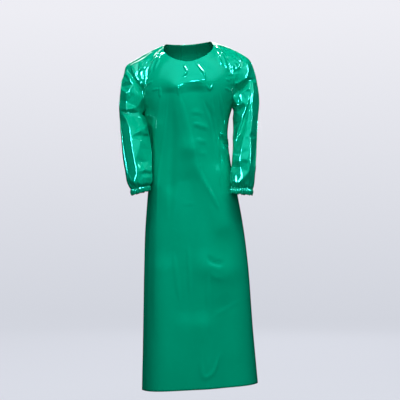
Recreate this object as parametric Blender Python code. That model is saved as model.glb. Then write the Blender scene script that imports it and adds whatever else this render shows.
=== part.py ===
"""A reusable protective gown of glossy green film, in the shape that it keeps while it is worn.

It is a hollow garment. The front is one panel from the neckline to the hem, and two back panels overlap
down the middle of the back. Raglan sleeves reach up to the neckline and end in gathered, elasticated
cuffs. Straps at the neck and at the waist are knotted behind.

Metres, +Z up, the wearer faces -Y, and the wearer's right is -X. The origin is the middle of the neck
opening, level with the shoulders that carry the gown. A place on the body is given by two numbers: its
turn, the angle round the body from the middle of the front towards the wearer's left, and its drop, the
distance below the origin.
"""

import math

import bpy
import numpy as np
from mathutils import Matrix

# Driving dimensions.
WALL = 0.002  # thickness of each cloth wall
SEAM_GAP = 0.0004  # between two pieces at a seam
ROLL = math.radians(3.6)  # the shoulders and the hem slope down to -X
UNDERARM_DROP = 0.262
HEM_DROP = 1.362
BACK_OVERLAP = 0.032  # how far each back panel passes the middle of the back
OVERLAP_DEPTH = 0.0030  # the right back panel runs this far inside the left one
SEAM_TURN = math.radians(60)  # where the front raglan seams leave the neckline
SCOOP_FADE = 1.3  # the power by which the rows below the neckline lose its scoop
SLEEVE_MORPH = 0.20  # over this reach the armhole's outline turns into an oval
SHARPEST_MITRE = 0.6  # where the sleeve's wall and the body's meet at an angle
CUFF_GATHERS = 14
GATHER_RISE = 0.0022
STRAP_WIDTH = 0.026
STRAP_WALL = 0.0015
STRAP_LIFT = 0.0006  # clearance between a strap and the panel under it

# How finely each piece is divided.
SEAM_STEPS = 10
SKIRT_STEPS = 24
FRONT_COLUMNS = 26
BACK_COLUMNS = 10
OVERLAP_COLUMNS = 4
MIDDLE_COLUMN = BACK_COLUMNS + OVERLAP_COLUMNS // 2  # on the middle of the back
SLEEVE_RINGS = 22
POINTS_PER_GATHER = 4


def table(columns, *rows):
    """Named columns of numbers, each as an array."""
    return dict(zip(columns.split(), np.array(rows, float).T))


# The body's outline at each drop: where its middle lies, half its width, its depth in front of the side
# seams and behind them, and the power that squares its oval (2 is an ellipse).
BODY = table(
    "drop     centre  half   front  back   power",
    (-0.030, 0.000, 0.070, 0.040, 0.052, 2.0),
    (-0.008, 0.000, 0.091, 0.056, 0.066, 2.0),
    (0.006, 0.001, 0.108, 0.068, 0.078, 2.0),
    (0.020, 0.002, 0.136, 0.080, 0.088, 2.0),
    (0.060, 0.003, 0.186, 0.099, 0.102, 2.0),
    (0.118, 0.005, 0.203, 0.120, 0.112, 2.1),
    (0.165, 0.005, 0.202, 0.130, 0.114, 2.2),
    (0.205, 0.004, 0.194, 0.133, 0.113, 2.2),
    (0.262, 0.003, 0.174, 0.132, 0.110, 2.2),
    (0.295, 0.002, 0.165, 0.130, 0.106, 2.2),
    (0.352, 0.003, 0.156, 0.127, 0.101, 2.2),
    (0.440, 0.009, 0.156, 0.126, 0.099, 2.2),
    (0.600, 0.017, 0.179, 0.132, 0.122, 2.3),
    (0.744, 0.025, 0.197, 0.138, 0.135, 2.4),
    (0.860, 0.031, 0.206, 0.142, 0.140, 2.4),
    (1.148, 0.040, 0.220, 0.148, 0.146, 2.5),
    (1.400, 0.049, 0.234, 0.153, 0.150, 2.6),
)

# The neckline's drop at each turn from the middle of the front, in degrees. It is a round scoop in front.
NECKLINE = table(
    "turn  drop",
    (-20, 0.0590),
    (0, 0.0780),
    (20, 0.0590),
    (35, 0.0350),
    (48, 0.0185),
    (60, 0.0085),
    (75, -0.0010),
    (90, -0.0080),
    (120, -0.0110),
    (180, -0.0100),
    (240, -0.0110),
)

# The front raglan seam, from the neckline (share 0) to the underarm (share 1). The back one mirrors it.
RAGLAN = table(
    "share  turn",
    (0.00, 60.0),
    (0.08, 54.5),
    (0.20, 50.5),
    (0.43, 52.0),
    (0.62, 55.5),
    (0.77, 62.0),
    (0.91, 71.0),
    (0.97, 79.0),
    (1.00, 90.0),
)

# A sleeve's outline seen from the front, by its reach from the neck along the shoulder and the outside of
# the arm: a point on its outer line, the point across from it on its inner line, how far behind the
# origin its middle lies, and half its depth.
SLEEVE_RIGHT = table(
    "reach  outer_x  outer_z  inner_x  inner_z  centre_y  half_depth",
    (0.000, -0.0920, 0.0020, -0.1710, -0.2730, 0.000, 0.068),
    (0.050, -0.1400, -0.0210, -0.1745, -0.2765, 0.000, 0.067),
    (0.093, -0.1800, -0.0420, -0.1765, -0.2805, 0.000, 0.067),
    (0.134, -0.2170, -0.0640, -0.1770, -0.2860, 0.000, 0.067),
    (0.172, -0.2440, -0.0870, -0.1765, -0.2920, 0.000, 0.067),
    (0.222, -0.2600, -0.1350, -0.1745, -0.3010, -0.004, 0.068),
    (0.278, -0.2700, -0.1900, -0.1690, -0.3160, -0.012, 0.069),
    (0.332, -0.2740, -0.2440, -0.1620, -0.3380, -0.022, 0.069),
    (0.396, -0.2700, -0.3080, -0.1560, -0.3700, -0.036, 0.068),
    (0.468, -0.2640, -0.3800, -0.1490, -0.4130, -0.055, 0.066),
    (0.538, -0.2570, -0.4500, -0.1450, -0.4640, -0.075, 0.062),
    (0.593, -0.2480, -0.5040, -0.1440, -0.5090, -0.090, 0.058),
    (0.642, -0.2380, -0.5520, -0.1430, -0.5450, -0.101, 0.052),
    (0.671, -0.2250, -0.5800, -0.1470, -0.5640, -0.104, 0.043),
    (0.700, -0.2190, -0.6060, -0.1490, -0.5870, -0.107, 0.040),
)
SLEEVE_LEFT = table(
    "reach  outer_x  outer_z  inner_x  inner_z  centre_y  half_depth",
    (0.000, 0.0920, 0.0140, 0.1770, -0.2510, 0.000, 0.068),
    (0.070, 0.1600, -0.0100, 0.1800, -0.2560, 0.000, 0.067),
    (0.127, 0.2120, -0.0350, 0.1815, -0.2625, 0.000, 0.067),
    (0.164, 0.2430, -0.0570, 0.1815, -0.2690, 0.000, 0.067),
    (0.212, 0.2640, -0.1000, 0.1805, -0.2780, 0.000, 0.068),
    (0.269, 0.2770, -0.1560, 0.1790, -0.2900, 0.000, 0.069),
    (0.350, 0.2850, -0.2360, 0.1795, -0.3150, -0.008, 0.069),
    (0.403, 0.2800, -0.2900, 0.1800, -0.3450, -0.022, 0.068),
    (0.467, 0.2750, -0.3520, 0.1790, -0.3860, -0.044, 0.067),
    (0.531, 0.2720, -0.4160, 0.1770, -0.4300, -0.068, 0.064),
    (0.597, 0.2680, -0.4820, 0.1720, -0.4830, -0.088, 0.059),
    (0.663, 0.2610, -0.5480, 0.1670, -0.5400, -0.102, 0.053),
    (0.693, 0.2560, -0.5760, 0.1700, -0.5700, -0.106, 0.044),
    (0.724, 0.2500, -0.6060, 0.1690, -0.5990, -0.109, 0.041),
)
CUFF_HEIGHT = 0.028  # along the sleeve's reach

# The largest folds, each a soft ridge or, with a rise below zero, a trough between two points seen from the
# front. Width is the distance in which it fades.
BODY_FOLDS = table(
    "side  x0      z0      x1      z1      width  rise",
    (-1, -0.045, -0.190, 0.010, -0.420, 0.032, 0.0060),
    (-1, 0.010, -0.420, 0.135, -0.720, 0.038, 0.0085),
    (-1, 0.040, -0.200, 0.115, -0.470, 0.032, -0.0070),
    (-1, -0.085, -0.210, -0.070, -0.560, 0.032, -0.0060),
    (-1, -0.118, -0.330, -0.125, -0.560, 0.026, 0.0050),
    (-1, 0.000, -0.560, -0.010, -1.050, 0.045, -0.0070),
    (-1, 0.085, -0.885, 0.145, -0.905, 0.050, 0.0090),
    (-1, 0.066, -1.120, 0.080, -1.350, 0.042, 0.0090),
    (-1, 0.150, -1.050, 0.160, -1.350, 0.045, -0.0070),
    (-1, -0.100, -0.900, -0.110, -1.370, 0.050, 0.0070),
    (-1, -0.165, -0.640, -0.172, -1.370, 0.035, -0.0060),
    (1, -0.100, -0.520, -0.125, -1.360, 0.040, 0.0110),
    (1, -0.035, -0.700, -0.040, -1.360, 0.040, -0.0090),
    (1, 0.105, -0.520, 0.115, -1.360, 0.042, 0.0110),
    (1, 0.160, -0.500, 0.190, -1.360, 0.036, -0.0080),
    (1, -0.110, -0.130, -0.050, -0.350, 0.034, 0.0060),
    (1, 0.120, -0.130, 0.065, -0.350, 0.034, 0.0060),
)
SLEEVE_FOLDS = table(
    "side  x0      z0      x1      z1      width  rise",
    (-1, -0.236, -0.100, -0.190, -0.180, 0.022, -0.0080),
    (-1, -0.250, -0.150, -0.215, -0.225, 0.022, 0.0060),
    (-1, -0.262, -0.275, -0.200, -0.290, 0.024, -0.0080),
    (-1, -0.240, -0.340, -0.195, -0.540, 0.026, 0.0060),
    (-1, 0.200, -0.186, 0.246, -0.134, 0.022, -0.0090),
    (-1, 0.255, -0.190, 0.215, -0.260, 0.024, 0.0050),
    (-1, 0.245, -0.280, 0.205, -0.330, 0.024, -0.0070),
    (-1, 0.240, -0.350, 0.225, -0.460, 0.026, 0.0060),
    (-1, 0.195, -0.520, 0.245, -0.495, 0.026, 0.0060),
    (1, -0.250, -0.260, -0.190, -0.300, 0.026, -0.0080),
    (1, -0.245, -0.340, -0.185, -0.370, 0.028, 0.0070),
    (1, 0.265, -0.250, 0.205, -0.285, 0.026, -0.0080),
    (1, 0.262, -0.340, 0.200, -0.370, 0.028, 0.0070),
)
FOLD_FADE = 0.030  # folds die out this far from a raglan seam
FACING_FADE = 0.35  # a fold shows on the side of the cloth that faces its way

# The ties, each a strap from both sides, a knot and two tails. A strap is centred on a row of the back
# panels, counted from the neckline, and starts at one of their columns, counted from the seam.
TIES = (
    {"name": "neck", "row": 1, "start": 5.0, "knot": 0.021, "tail_rows": 4.3},
    {"name": "waist", "row": 13, "start": 0.2, "knot": 0.027, "tail_rows": 5.3},
)
KNOT_HEIGHT = 0.6  # a knot's height and depth as shares of its width
KNOT_DEPTH = 0.5
GATHERED = 0.42  # a strap or tail is gathered to this share of its width at the knot
GATHER_RUN = 0.045  # and is flat this far from it
TAIL_GAP = 0.001  # between each tail and the middle of the back, and under its strap

FILM_GREEN = (0.0, 0.260, 0.140, 1.0)
CUFF_GREEN = (0.0, 0.230, 0.125, 1.0)
STRAP_GREEN = (0.0, 0.245, 0.132, 1.0)


def through(knots, values, at):
    """A smooth curve through the values at the knots, read at the given places."""
    at = np.asarray(at, float)
    slopes = np.gradient(values, knots)
    i = np.clip(np.searchsorted(knots, at) - 1, 0, len(knots) - 2)
    step = knots[i + 1] - knots[i]
    t = np.clip((at - knots[i]) / step, 0.0, 1.0)
    rise = values[i + 1] - values[i]
    start, end = slopes[i] * step, slopes[i + 1] * step
    return values[i] + t * start + t * t * (3 * rise - 2 * start - end) + t**3 * (start + end - 2 * rise)


def ease(t):
    """0 below 0, 1 above 1, and a smooth rise between them."""
    t = np.clip(t, 0.0, 1.0)
    return t * t * (3 - 2 * t)


def unit(vectors):
    return vectors / np.maximum(np.linalg.norm(vectors, axis=-1, keepdims=True), 1e-12)


def stacked(x, y, z):
    return np.stack(np.broadcast_arrays(x, y, z), axis=-1)


def body_form(turn, drop):
    """A point of the body without its folds."""
    centre, half, front, back, power = (
        through(BODY["drop"], BODY[name], drop) for name in ("centre", "half", "front", "back", "power")
    )
    sine, cosine = np.sin(turn), np.cos(turn)
    across = half * np.sign(sine) * np.abs(sine) ** (2 / power)
    depth = np.where(cosine > 0, -front, back) * np.abs(cosine) ** (2 / power)
    return stacked(centre + across * math.cos(ROLL), depth, -drop + across * math.sin(ROLL))


def facing_out(surface, first, second, step=0.004):
    """The outward direction of a surface at two arrays of places, from points a small step either side."""
    along_first = surface(first + step, second) - surface(first - step, second)
    along_second = surface(first, second + step) - surface(first, second - step)
    return unit(np.cross(along_second, along_first))


def fold_lift(points, outward, folds):
    """How far the folds raise each point."""
    lift = np.zeros(points.shape[:-1])
    for side, x0, z0, x1, z1, width, rise in zip(*folds.values()):
        run = np.array((x1 - x0, z1 - z0))
        start = points[..., (0, 2)] - (x0, z0)
        along = np.clip(start @ run / (run @ run), 0, 1)
        away = np.linalg.norm(start - along[..., None] * run, axis=-1)
        shows = ease(side * outward[..., 1] / FACING_FADE)
        lift += rise * shows * np.exp(-((away / width) ** 2))
    return lift


def raglan_turn(share):
    return np.radians(through(RAGLAN["share"], RAGLAN["turn"], share))


def neck_drop(turn):
    return through(NECKLINE["turn"], NECKLINE["drop"], np.abs(np.degrees(turn)))


def seam_share(t):
    """The share of the raglan seam's height by the share of its length."""
    return 1 - (1 - t) ** 1.5


def armhole(side, around):
    """The sleeve's upper edge, by the share of the way around it: 0 on the shoulder, 0.5 at the underarm.

    It runs along the neckline as far as the raglan seam, then down the seam.
    """
    half_way = 1 - np.abs(1 - 2 * around)  # 0 on the shoulder, 1 at the underarm
    in_front = around < 0.5
    steps = half_way * (SEAM_STEPS + 1)
    front_turn = math.pi / 2 - (math.pi / 2 - SEAM_TURN) * np.minimum(steps, 1)
    neck_turn = np.where(in_front, front_turn, math.pi - front_turn)
    share = seam_share(np.clip((steps - 1) / SEAM_STEPS, 0, 1))
    seam_turn = np.where(in_front, raglan_turn(share), math.pi - raglan_turn(share))
    seam_drop = neck_drop(neck_turn) * (1 - share) + UNDERARM_DROP * share
    turn = side * np.where(steps < 1, neck_turn, seam_turn)
    return turn, np.where(steps < 1, neck_drop(neck_turn), seam_drop)


def from_armholes(points):
    """The distance of each point from the nearer armhole's seam."""
    around = np.linspace(0, 1, 64)
    seams = np.vstack([body_form(*armhole(side, around)) for side in (-1, 1)])
    return np.min([np.linalg.norm(points - place, axis=-1) for place in seams], axis=0)


def body_cloth(turn, drop):
    """A point of the body with its folds, which fade out beside the raglan seams."""
    points = body_form(turn, drop)
    outward = facing_out(body_form, turn, drop)
    fade = ease(from_armholes(points) / FOLD_FADE)
    return points + outward * (fade * fold_lift(points, outward, BODY_FOLDS))[..., None]


def sleeve_form(side, sizes, around, reach):
    """A point of a sleeve without its folds: ovals across the arm that grow out of the armhole."""

    def oval(at):
        middle_x, middle_z, half_x, half_z = (
            through(sizes["reach"], sizes[f"outer_{axis}"], at) / 2
            + sign * through(sizes["reach"], sizes[f"inner_{axis}"], at) / 2
            for sign in (1, -1)
            for axis in ("x", "z")
        )
        depth = through(sizes["reach"], sizes["half_depth"], at)
        back = through(sizes["reach"], sizes["centre_y"], at)
        out, forward = np.cos(2 * math.pi * around), np.sin(2 * math.pi * around)
        return stacked(middle_x + half_x * out, back - depth * forward, middle_z + half_z * out)

    edge = body_form(*armhole(side, around))
    keep = np.clip(1 - reach / SLEEVE_MORPH, 0, 1)[..., None] ** 2
    return oval(reach) + keep * (edge - oval(np.zeros_like(reach)))


def sleeve_cloth(side, sizes, around, reach):
    """A point of a sleeve with its folds, and the direction that faces out of it."""

    def form(a, r):
        return sleeve_form(side, sizes, a % 1.0, np.clip(r, 0, sizes["reach"][-1]))

    points = form(around, reach)
    outward = -side * facing_out(form, around, reach)
    fade = ease(reach / FOLD_FADE)
    return points + outward * (fade * fold_lift(points, outward, SLEEVE_FOLDS))[..., None], outward


def seam_facing(side, sizes, around):
    """The direction out of the cloth on the armhole's seam, half-way between the sleeve's and the body's.

    It is longer where they meet at an angle, so that the walls on both sides keep their thickness.
    """
    _, from_sleeve = sleeve_cloth(side, sizes, around, np.zeros_like(around))
    from_body = facing_out(body_form, *armhole(side, around))
    middle = unit(from_sleeve + from_body)
    lean = np.sum(middle * from_body, axis=-1, keepdims=True)
    return middle / np.maximum(lean, SHARPEST_MITRE)


def film(name, colour, roughness):
    material = bpy.data.materials.new(name)
    material.use_nodes = True
    shader = material.node_tree.nodes["Principled BSDF"]
    shader.inputs["Base Color"].default_value = colour
    shader.inputs["Roughness"].default_value = roughness
    shader.inputs["Metallic"].default_value = 0.0
    return material


def add_wall(name, outer, inner, material, ring=False):
    """A closed wall between two grids of points. The grids' columns join up where it is a ring.

    Both skins are split along the same diagonals, so the wall keeps its thickness.
    """
    points = outer.reshape(-1, 3)
    index = np.arange(len(points)).reshape(outer.shape[:2])
    if ring:
        index = np.hstack((index, index[:, :1]))
    a, b, c, d = (grid.ravel() for grid in (index[:-1, :-1], index[1:, :-1], index[1:, 1:], index[:-1, 1:]))
    short = np.linalg.norm(points[a] - points[c], axis=1) < np.linalg.norm(points[b] - points[d], axis=1)
    skin = np.vstack(
        (
            np.where(short, (a, b, c), (a, b, d)).T,
            np.where(short, (a, c, d), (b, c, d)).T,
        )
    )
    faces = skin.tolist() + (skin[:, ::-1] + len(points)).tolist()
    border = [index[0], index[-1, ::-1]]
    if not ring:
        border += [index[::-1, 0], index[:, -1]]
    for edge in border:
        other = edge + len(points)
        faces.extend(zip(edge[:-1].tolist(), edge[1:].tolist(), other[1:].tolist(), other[:-1].tolist()))
    mesh = bpy.data.meshes.new(name)
    mesh.from_pydata(np.vstack((points, inner.reshape(-1, 3))).tolist(), [], faces)
    skins = np.array(mesh.vertices[0].normal), points[0] - inner.reshape(-1, 3)[0]
    if np.dot(*skins) < 0:
        mesh.flip_normals()
    mesh.shade_smooth()
    mesh.set_sharp_from_angle(angle=math.radians(50))
    mesh.materials.append(material)
    made = bpy.data.objects.new(name, mesh)
    bpy.context.scene.collection.objects.link(made)
    return made


def draw_back(edge, beside, *skins):
    """Moves an edge's points away from its seam, towards the points beside them, by half the seam's gap."""
    shift = unit(skins[0][beside] - skins[0][edge]) * SEAM_GAP / 2
    for skin in skins:
        skin[edge] += shift


def body_panel(name, turns, drops, material, seams, sink=0.0):
    """A panel of the body from a grid of turns and drops, sunk by a depth that is one number or a grid.

    Its seams are the columns that stay clear of a neighbour, each with the directions out of the cloth
    along the armhole above it.
    """
    outer = body_cloth(turns, drops)
    outward = facing_out(body_cloth, turns, drops)
    for column, facing in seams.items():
        outward[: len(facing), column] = facing
    outer = outer - outward * np.broadcast_to(sink, turns.shape)[..., None]
    inner = outer - outward * WALL
    for column in seams:
        draw_back(np.s_[:, column], np.s_[:, 1 if column == 0 else column - 1], outer, inner)
    return add_wall(name, outer, inner, material)


def panel_grid(top_turn, spans):
    """Turns and drops of a body panel whose top row is the neckline and whose first column is its seam.

    Its rows are shares of the raglan seam, then drops down the skirt. Each span is a number of columns and
    a function that gives the turn where they end from the side turn and the drop of every row.
    """
    seam = seam_share(np.linspace(0, 1, SEAM_STEPS + 1))
    skirt = np.linspace(UNDERARM_DROP, HEM_DROP, SKIRT_STEPS + 1)[1:]
    side = np.concatenate((raglan_turn(seam), np.full(len(skirt), math.pi / 2)))
    side = side if top_turn < math.pi / 2 else math.pi - side
    top = float(neck_drop(top_turn))
    level = np.concatenate((top + (UNDERARM_DROP - top) * seam, skirt))
    turns = side[:, None]
    for columns, end in spans:
        across = np.linspace(0, 1, columns + 1)[1:]
        start = turns[:, -1:]
        turns = np.hstack((turns, start + (end(side, level)[:, None] - start) * across))
    scoop = neck_drop(turns[0]) - top
    dip = np.concatenate(((1 - seam) ** SCOOP_FADE, np.zeros(len(skirt))))
    return turns, level[:, None] + dip[:, None] * scoop


def seam_directions(side, sizes, in_front):
    """The directions out of the cloth on a body panel's raglan seam, from the neckline to the underarm."""
    around = (1 + np.arange(SEAM_STEPS + 1)) / (2 * (SEAM_STEPS + 1))
    return seam_facing(side, sizes, around if in_front else 1 - around)


def add_front_panel(material):
    turns, drops = panel_grid(SEAM_TURN, [(FRONT_COLUMNS, lambda side, level: -side)])
    seams = {0: seam_directions(1, SLEEVE_LEFT, True), FRONT_COLUMNS: seam_directions(-1, SLEEVE_RIGHT, True)}
    body_panel("front_panel", turns, drops, material, seams)


def add_back_panels(material):
    """The two back panels share their points where they overlap, and the right one sinks there.

    Gives the grid of each panel before the sinking, as the cloth's points and the directions out of it.
    """

    def past_middle(side, level):
        return math.pi + BACK_OVERLAP / through(BODY["drop"], BODY["half"], level)

    def before_middle(side, level):
        return 2 * math.pi - past_middle(side, level)

    spans = [(BACK_COLUMNS, before_middle), (OVERLAP_COLUMNS, past_middle)]
    turns, drops = panel_grid(math.pi - SEAM_TURN, spans)
    body_panel("back_panel_left", turns, drops, material, {0: seam_directions(1, SLEEVE_LEFT, False)})
    sink = np.zeros_like(turns)
    sink[:, -OVERLAP_COLUMNS - 1 :] = OVERLAP_DEPTH
    seams = {0: seam_directions(-1, SLEEVE_RIGHT, False)}
    body_panel("back_panel_right", -turns, drops, material, seams, sink=sink)
    return {
        side: (body_cloth(side * turns, drops), facing_out(body_cloth, side * turns, drops)) for side in (-1, 1)
    }


def add_sleeve(name, side, sizes, material):
    """A sleeve from the neckline and raglan seams to the top of its cuff."""
    around = np.linspace(0, 1, 2 * (SEAM_STEPS + 1), endpoint=False)
    cuff_top = sizes["reach"][-1] - CUFF_HEIGHT
    reach = np.linspace(0, 1, SLEEVE_RINGS + 1)[:, None] * cuff_top
    around, reach = np.broadcast_arrays(around, reach)
    outer, outward = sleeve_cloth(side, sizes, around, reach)
    outward[0] = seam_facing(side, sizes, around[0])
    inner = outer - outward * WALL
    draw_back(np.s_[0], np.s_[1], outer, inner)
    draw_back(np.s_[-1], np.s_[-2], outer, inner)
    add_wall(name, outer, inner, material, ring=True)


def add_cuff(name, side, sizes, material):
    """The gathered casing of the elastic, a band of small waves around the wrist."""
    count = CUFF_GATHERS * POINTS_PER_GATHER
    around = np.linspace(0, 1, count, endpoint=False)
    shares = np.array((0.0, 0.35, 0.7, 1.0))[:, None]
    rise = np.array((0.3, 1.0, 1.0, 0.8))[:, None] * GATHER_RISE
    reach = sizes["reach"][-1] - CUFF_HEIGHT * (1 - shares)
    around, reach = np.broadcast_arrays(around, reach)
    outer, outward = sleeve_cloth(side, sizes, around, reach)
    wave = np.sin(2 * math.pi * CUFF_GATHERS * around)
    outer = outer + outward * (rise * wave)[..., None]
    inner = outer - outward * WALL
    draw_back(np.s_[0], np.s_[1], outer, inner)
    add_wall(name, outer, inner, material, ring=True)


def between(grid, rows, columns):
    """Points of a grid at whole and part rows and columns."""
    row = np.clip(np.floor(rows).astype(int), 0, grid.shape[0] - 2)
    column = np.clip(np.floor(columns).astype(int), 0, grid.shape[1] - 2)
    down, across = (rows - row)[..., None], (columns - column)[..., None]
    upper = grid[row, column] * (1 - across) + grid[row, column + 1] * across
    lower = grid[row + 1, column] * (1 - across) + grid[row + 1, column + 1] * across
    return upper * (1 - down) + lower * down


def add_strip(name, panel, rows, columns, material):
    """A strap or a tail that lies on a back panel: the panel's own points, moved out."""
    points, outward = (between(grid, rows, columns) for grid in panel)
    outward = unit(outward)
    base = points + outward * STRAP_LIFT
    return add_wall(name, base + outward * STRAP_WALL, base, material)


def strip_width(from_knot):
    """A strap's or tail's width, gathered in at the knot."""
    return STRAP_WIDTH * (GATHERED + (1 - GATHERED) * ease(from_knot / GATHER_RUN))


def add_straps(tie, panels, material, row_height, column_width):
    """A strap on each side, centred on a row of the panels, from near their seams to the knot."""
    end = MIDDLE_COLUMN - (tie["knot"] / 2 + SEAM_GAP) / column_width
    whole = np.arange(math.ceil(tie["start"] + 0.1), MIDDLE_COLUMN)
    columns = np.concatenate(([tie["start"]], whole, [end]))[:, None] + np.zeros((1, 3))
    half = strip_width((MIDDLE_COLUMN - columns[:, :1]) * column_width) / 2
    rows = tie["row"] + half * (-1, 0, 1) / row_height
    for side, word in ((-1, "right"), (1, "left")):
        add_strip(f"{tie['name']}_strap_{word}", panels[side], rows, columns, material)


def add_tails(tie, panels, material, row_height, column_width):
    """Two tails that hang side by side below the knot. They bend where the panel does, on its columns."""
    top = tie["row"] + ((tie["knot"] / 2 + SEAM_GAP) * KNOT_HEIGHT + TAIL_GAP) / row_height
    bottom = top + tie["tail_rows"]
    rows = np.concatenate(([top], np.arange(math.ceil(top), bottom), [bottom]))
    near = np.full_like(rows, MIDDLE_COLUMN - TAIL_GAP / column_width)
    far = near - strip_width((rows - top) * row_height) / column_width
    bend = np.where(far < MIDDLE_COLUMN - 1.1, MIDDLE_COLUMN - 1, (near + far) / 2)
    columns = np.stack((near, bend, far), axis=1)
    for side, word in ((-1, "right"), (1, "left")):
        add_strip(f"{tie['name']}_tail_{word}", panels[side], rows[:, None] + 0 * columns, columns, material)


def add_knot(tie, panel, material):
    """A small flattened ball at the middle of the back."""
    radius = tie["knot"] / 2
    seat, outward = (grid[tie["row"], MIDDLE_COLUMN] for grid in panel)
    bpy.ops.mesh.primitive_uv_sphere_add(segments=12, ring_count=8, radius=radius)
    knot = bpy.context.object
    knot.name = knot.data.name = f"{tie['name']}_knot"
    place = seat + outward * (STRAP_LIFT + radius * KNOT_DEPTH)
    knot.data.transform(Matrix.LocRotScale(place, None, (1, KNOT_DEPTH, KNOT_HEIGHT)))
    knot.data.shade_smooth()
    knot.data.materials.append(material)


def add_tie(tie, panels, material):
    """Straps from both sides to a knot at the middle of the back, with two tails below it."""
    column_width = 2 * BACK_OVERLAP / OVERLAP_COLUMNS
    middle = panels[1][0][tie["row"] : tie["row"] + 2, MIDDLE_COLUMN]
    row_height = float(np.linalg.norm(middle[1] - middle[0]))
    add_straps(tie, panels, material, row_height, column_width)
    add_tails(tie, panels, material, row_height, column_width)
    add_knot(tie, panels[1], material)


def clear_scene():
    for obj in list(bpy.data.objects):
        bpy.data.objects.remove(obj, do_unlink=True)


def main():
    clear_scene()
    film_green = film("green_film", FILM_GREEN, 0.22)
    cuff_green = film("cuff_film", CUFF_GREEN, 0.30)
    strap_green = film("strap_film", STRAP_GREEN, 0.28)
    add_front_panel(film_green)
    back_panels = add_back_panels(film_green)
    for word, side, sizes in (("right", -1, SLEEVE_RIGHT), ("left", 1, SLEEVE_LEFT)):
        add_sleeve(f"sleeve_{word}", side, sizes, film_green)
        add_cuff(f"cuff_{word}", side, sizes, cuff_green)
    for tie in TIES:
        add_tie(tie, back_panels, strap_green)


main()
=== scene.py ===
"""The looks of a reusable protective gown of glossy green film, in the shape that it keeps while it is worn.

Each piece is a thin shell of film on the form of its solid, sampled finely, with the creases, the welded
raglan seams and the gathers of the cuffs laid over it. Metres, and millimetres where a table says
so, +Z up, the wearer faces -Y. A place on the body is given by its turn, the angle round the body from the
middle of the front towards +X, and its drop, the distance below the origin. A place on a sleeve is the share
of the way around it and its reach from the neck.
"""

import math

import bpy
import numpy as np
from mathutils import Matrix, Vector
from mathutils.geometry import delaunay_2d_cdt
from mathutils.kdtree import KDTree


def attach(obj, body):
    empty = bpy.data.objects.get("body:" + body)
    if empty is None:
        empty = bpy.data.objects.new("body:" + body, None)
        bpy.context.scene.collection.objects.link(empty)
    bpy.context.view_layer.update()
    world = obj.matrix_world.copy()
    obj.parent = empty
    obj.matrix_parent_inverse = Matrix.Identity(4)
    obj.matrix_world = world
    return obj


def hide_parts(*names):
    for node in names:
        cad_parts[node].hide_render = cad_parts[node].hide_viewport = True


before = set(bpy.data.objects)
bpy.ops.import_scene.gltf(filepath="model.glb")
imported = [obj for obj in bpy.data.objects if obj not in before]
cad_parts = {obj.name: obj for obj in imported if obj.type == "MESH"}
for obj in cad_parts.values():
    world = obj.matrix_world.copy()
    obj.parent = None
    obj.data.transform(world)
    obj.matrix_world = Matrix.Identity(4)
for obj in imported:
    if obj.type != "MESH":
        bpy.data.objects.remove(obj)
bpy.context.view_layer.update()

# The gown's own sizes, as its solids have them.
ROLL = math.radians(3.6)  # the shoulders and the hem slope down to -X
UNDERARM_DROP = 0.262
HEM_DROP = 1.362
BACK_OVERLAP = 0.032  # how far each back panel passes the middle of the back
OVERLAP_DEPTH = 0.0030  # the right back panel runs this far inside the left one
SEAM_TURN = math.radians(60)  # where the front raglan seams leave the neckline
SCOOP_FADE = 1.3  # the power by which the rows below the neckline lose its scoop
SLEEVE_MORPH = 0.20  # over this reach the armhole's outline turns into an oval
SHARPEST_MITRE = 0.6  # where a sleeve's film and the body's meet at an angle
SEAM_GAP = 0.0001  # between two pieces at a seam
FILM = 0.0005  # the film as drawn; the real one is about 0.15 mm

# The weld along a raglan seam: two low beads, and the puckers that it draws into the film beside them.
BEAD_RISE = 0.0005
BEAD_PLACE = 0.0042  # from the seam
BEAD_SPREAD = 0.0022
PUCKER_RISE = 0.0007
PUCKER_RUN = 0.026  # from one to the next, along the seam
PUCKER_START = 0.004  # beside the seam, which is itself smooth
PUCKER_REACH = 0.012

# The cuffs, and the gathers that run from them up the sleeves.
CUFF_HEIGHT = 0.028
CUFF_WANDER = 0.0026  # how far the cuff's edges stray along the arm
WANDER_START = 0.8  # the share of the sleeve's reach from which its rings stray along with them
WANDER_BLEND = 0.16
CUFF_PUFF = 0.0016  # how far the casing bulges between its two edges
FRILL_RISE = 0.0007  # the small waves of the cuff's lower edge
FRILL_WAVES = 46
GATHERS = 20  # round each wrist
GATHER_RISE = 0.0050  # from a gather's valley to its crest
GATHER_REACH = 0.020
STITCH_DRAW = 0.0030  # how far the elastic's upper stitching draws the film in
STITCH_SPREAD = 0.0055

# The ties' straps and tails, which the knot gathers and pleats.
STRAP_WIDTH = 0.026
STRAP_WALL = 0.0011  # as drawn, where the real straps are film folded double
STRAP_LIFT = 0.0007  # off the back panel
STRAP_HEM = 0.00035  # how far the folded edges stand out
HEM_PLACE = 0.88  # where they lie and how wide they are, as shares of half the width
HEM_SPREAD = 0.05
GATHERED = 0.42  # the share of the width that is left at the knot
GATHERED_RUN = 0.045  # how far from the knot the full width is reached
PLEAT_RISE = 0.0016
PLEAT_REACH = 0.022
KNOT_HEIGHT = 0.6  # as shares of the knot's width
KNOT_DEPTH = 0.5
KNOT_GRIP = 0.003  # how far a strap or tail runs into the knot
TAIL_GAP = 0.001  # from each tail to the middle between the two

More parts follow.
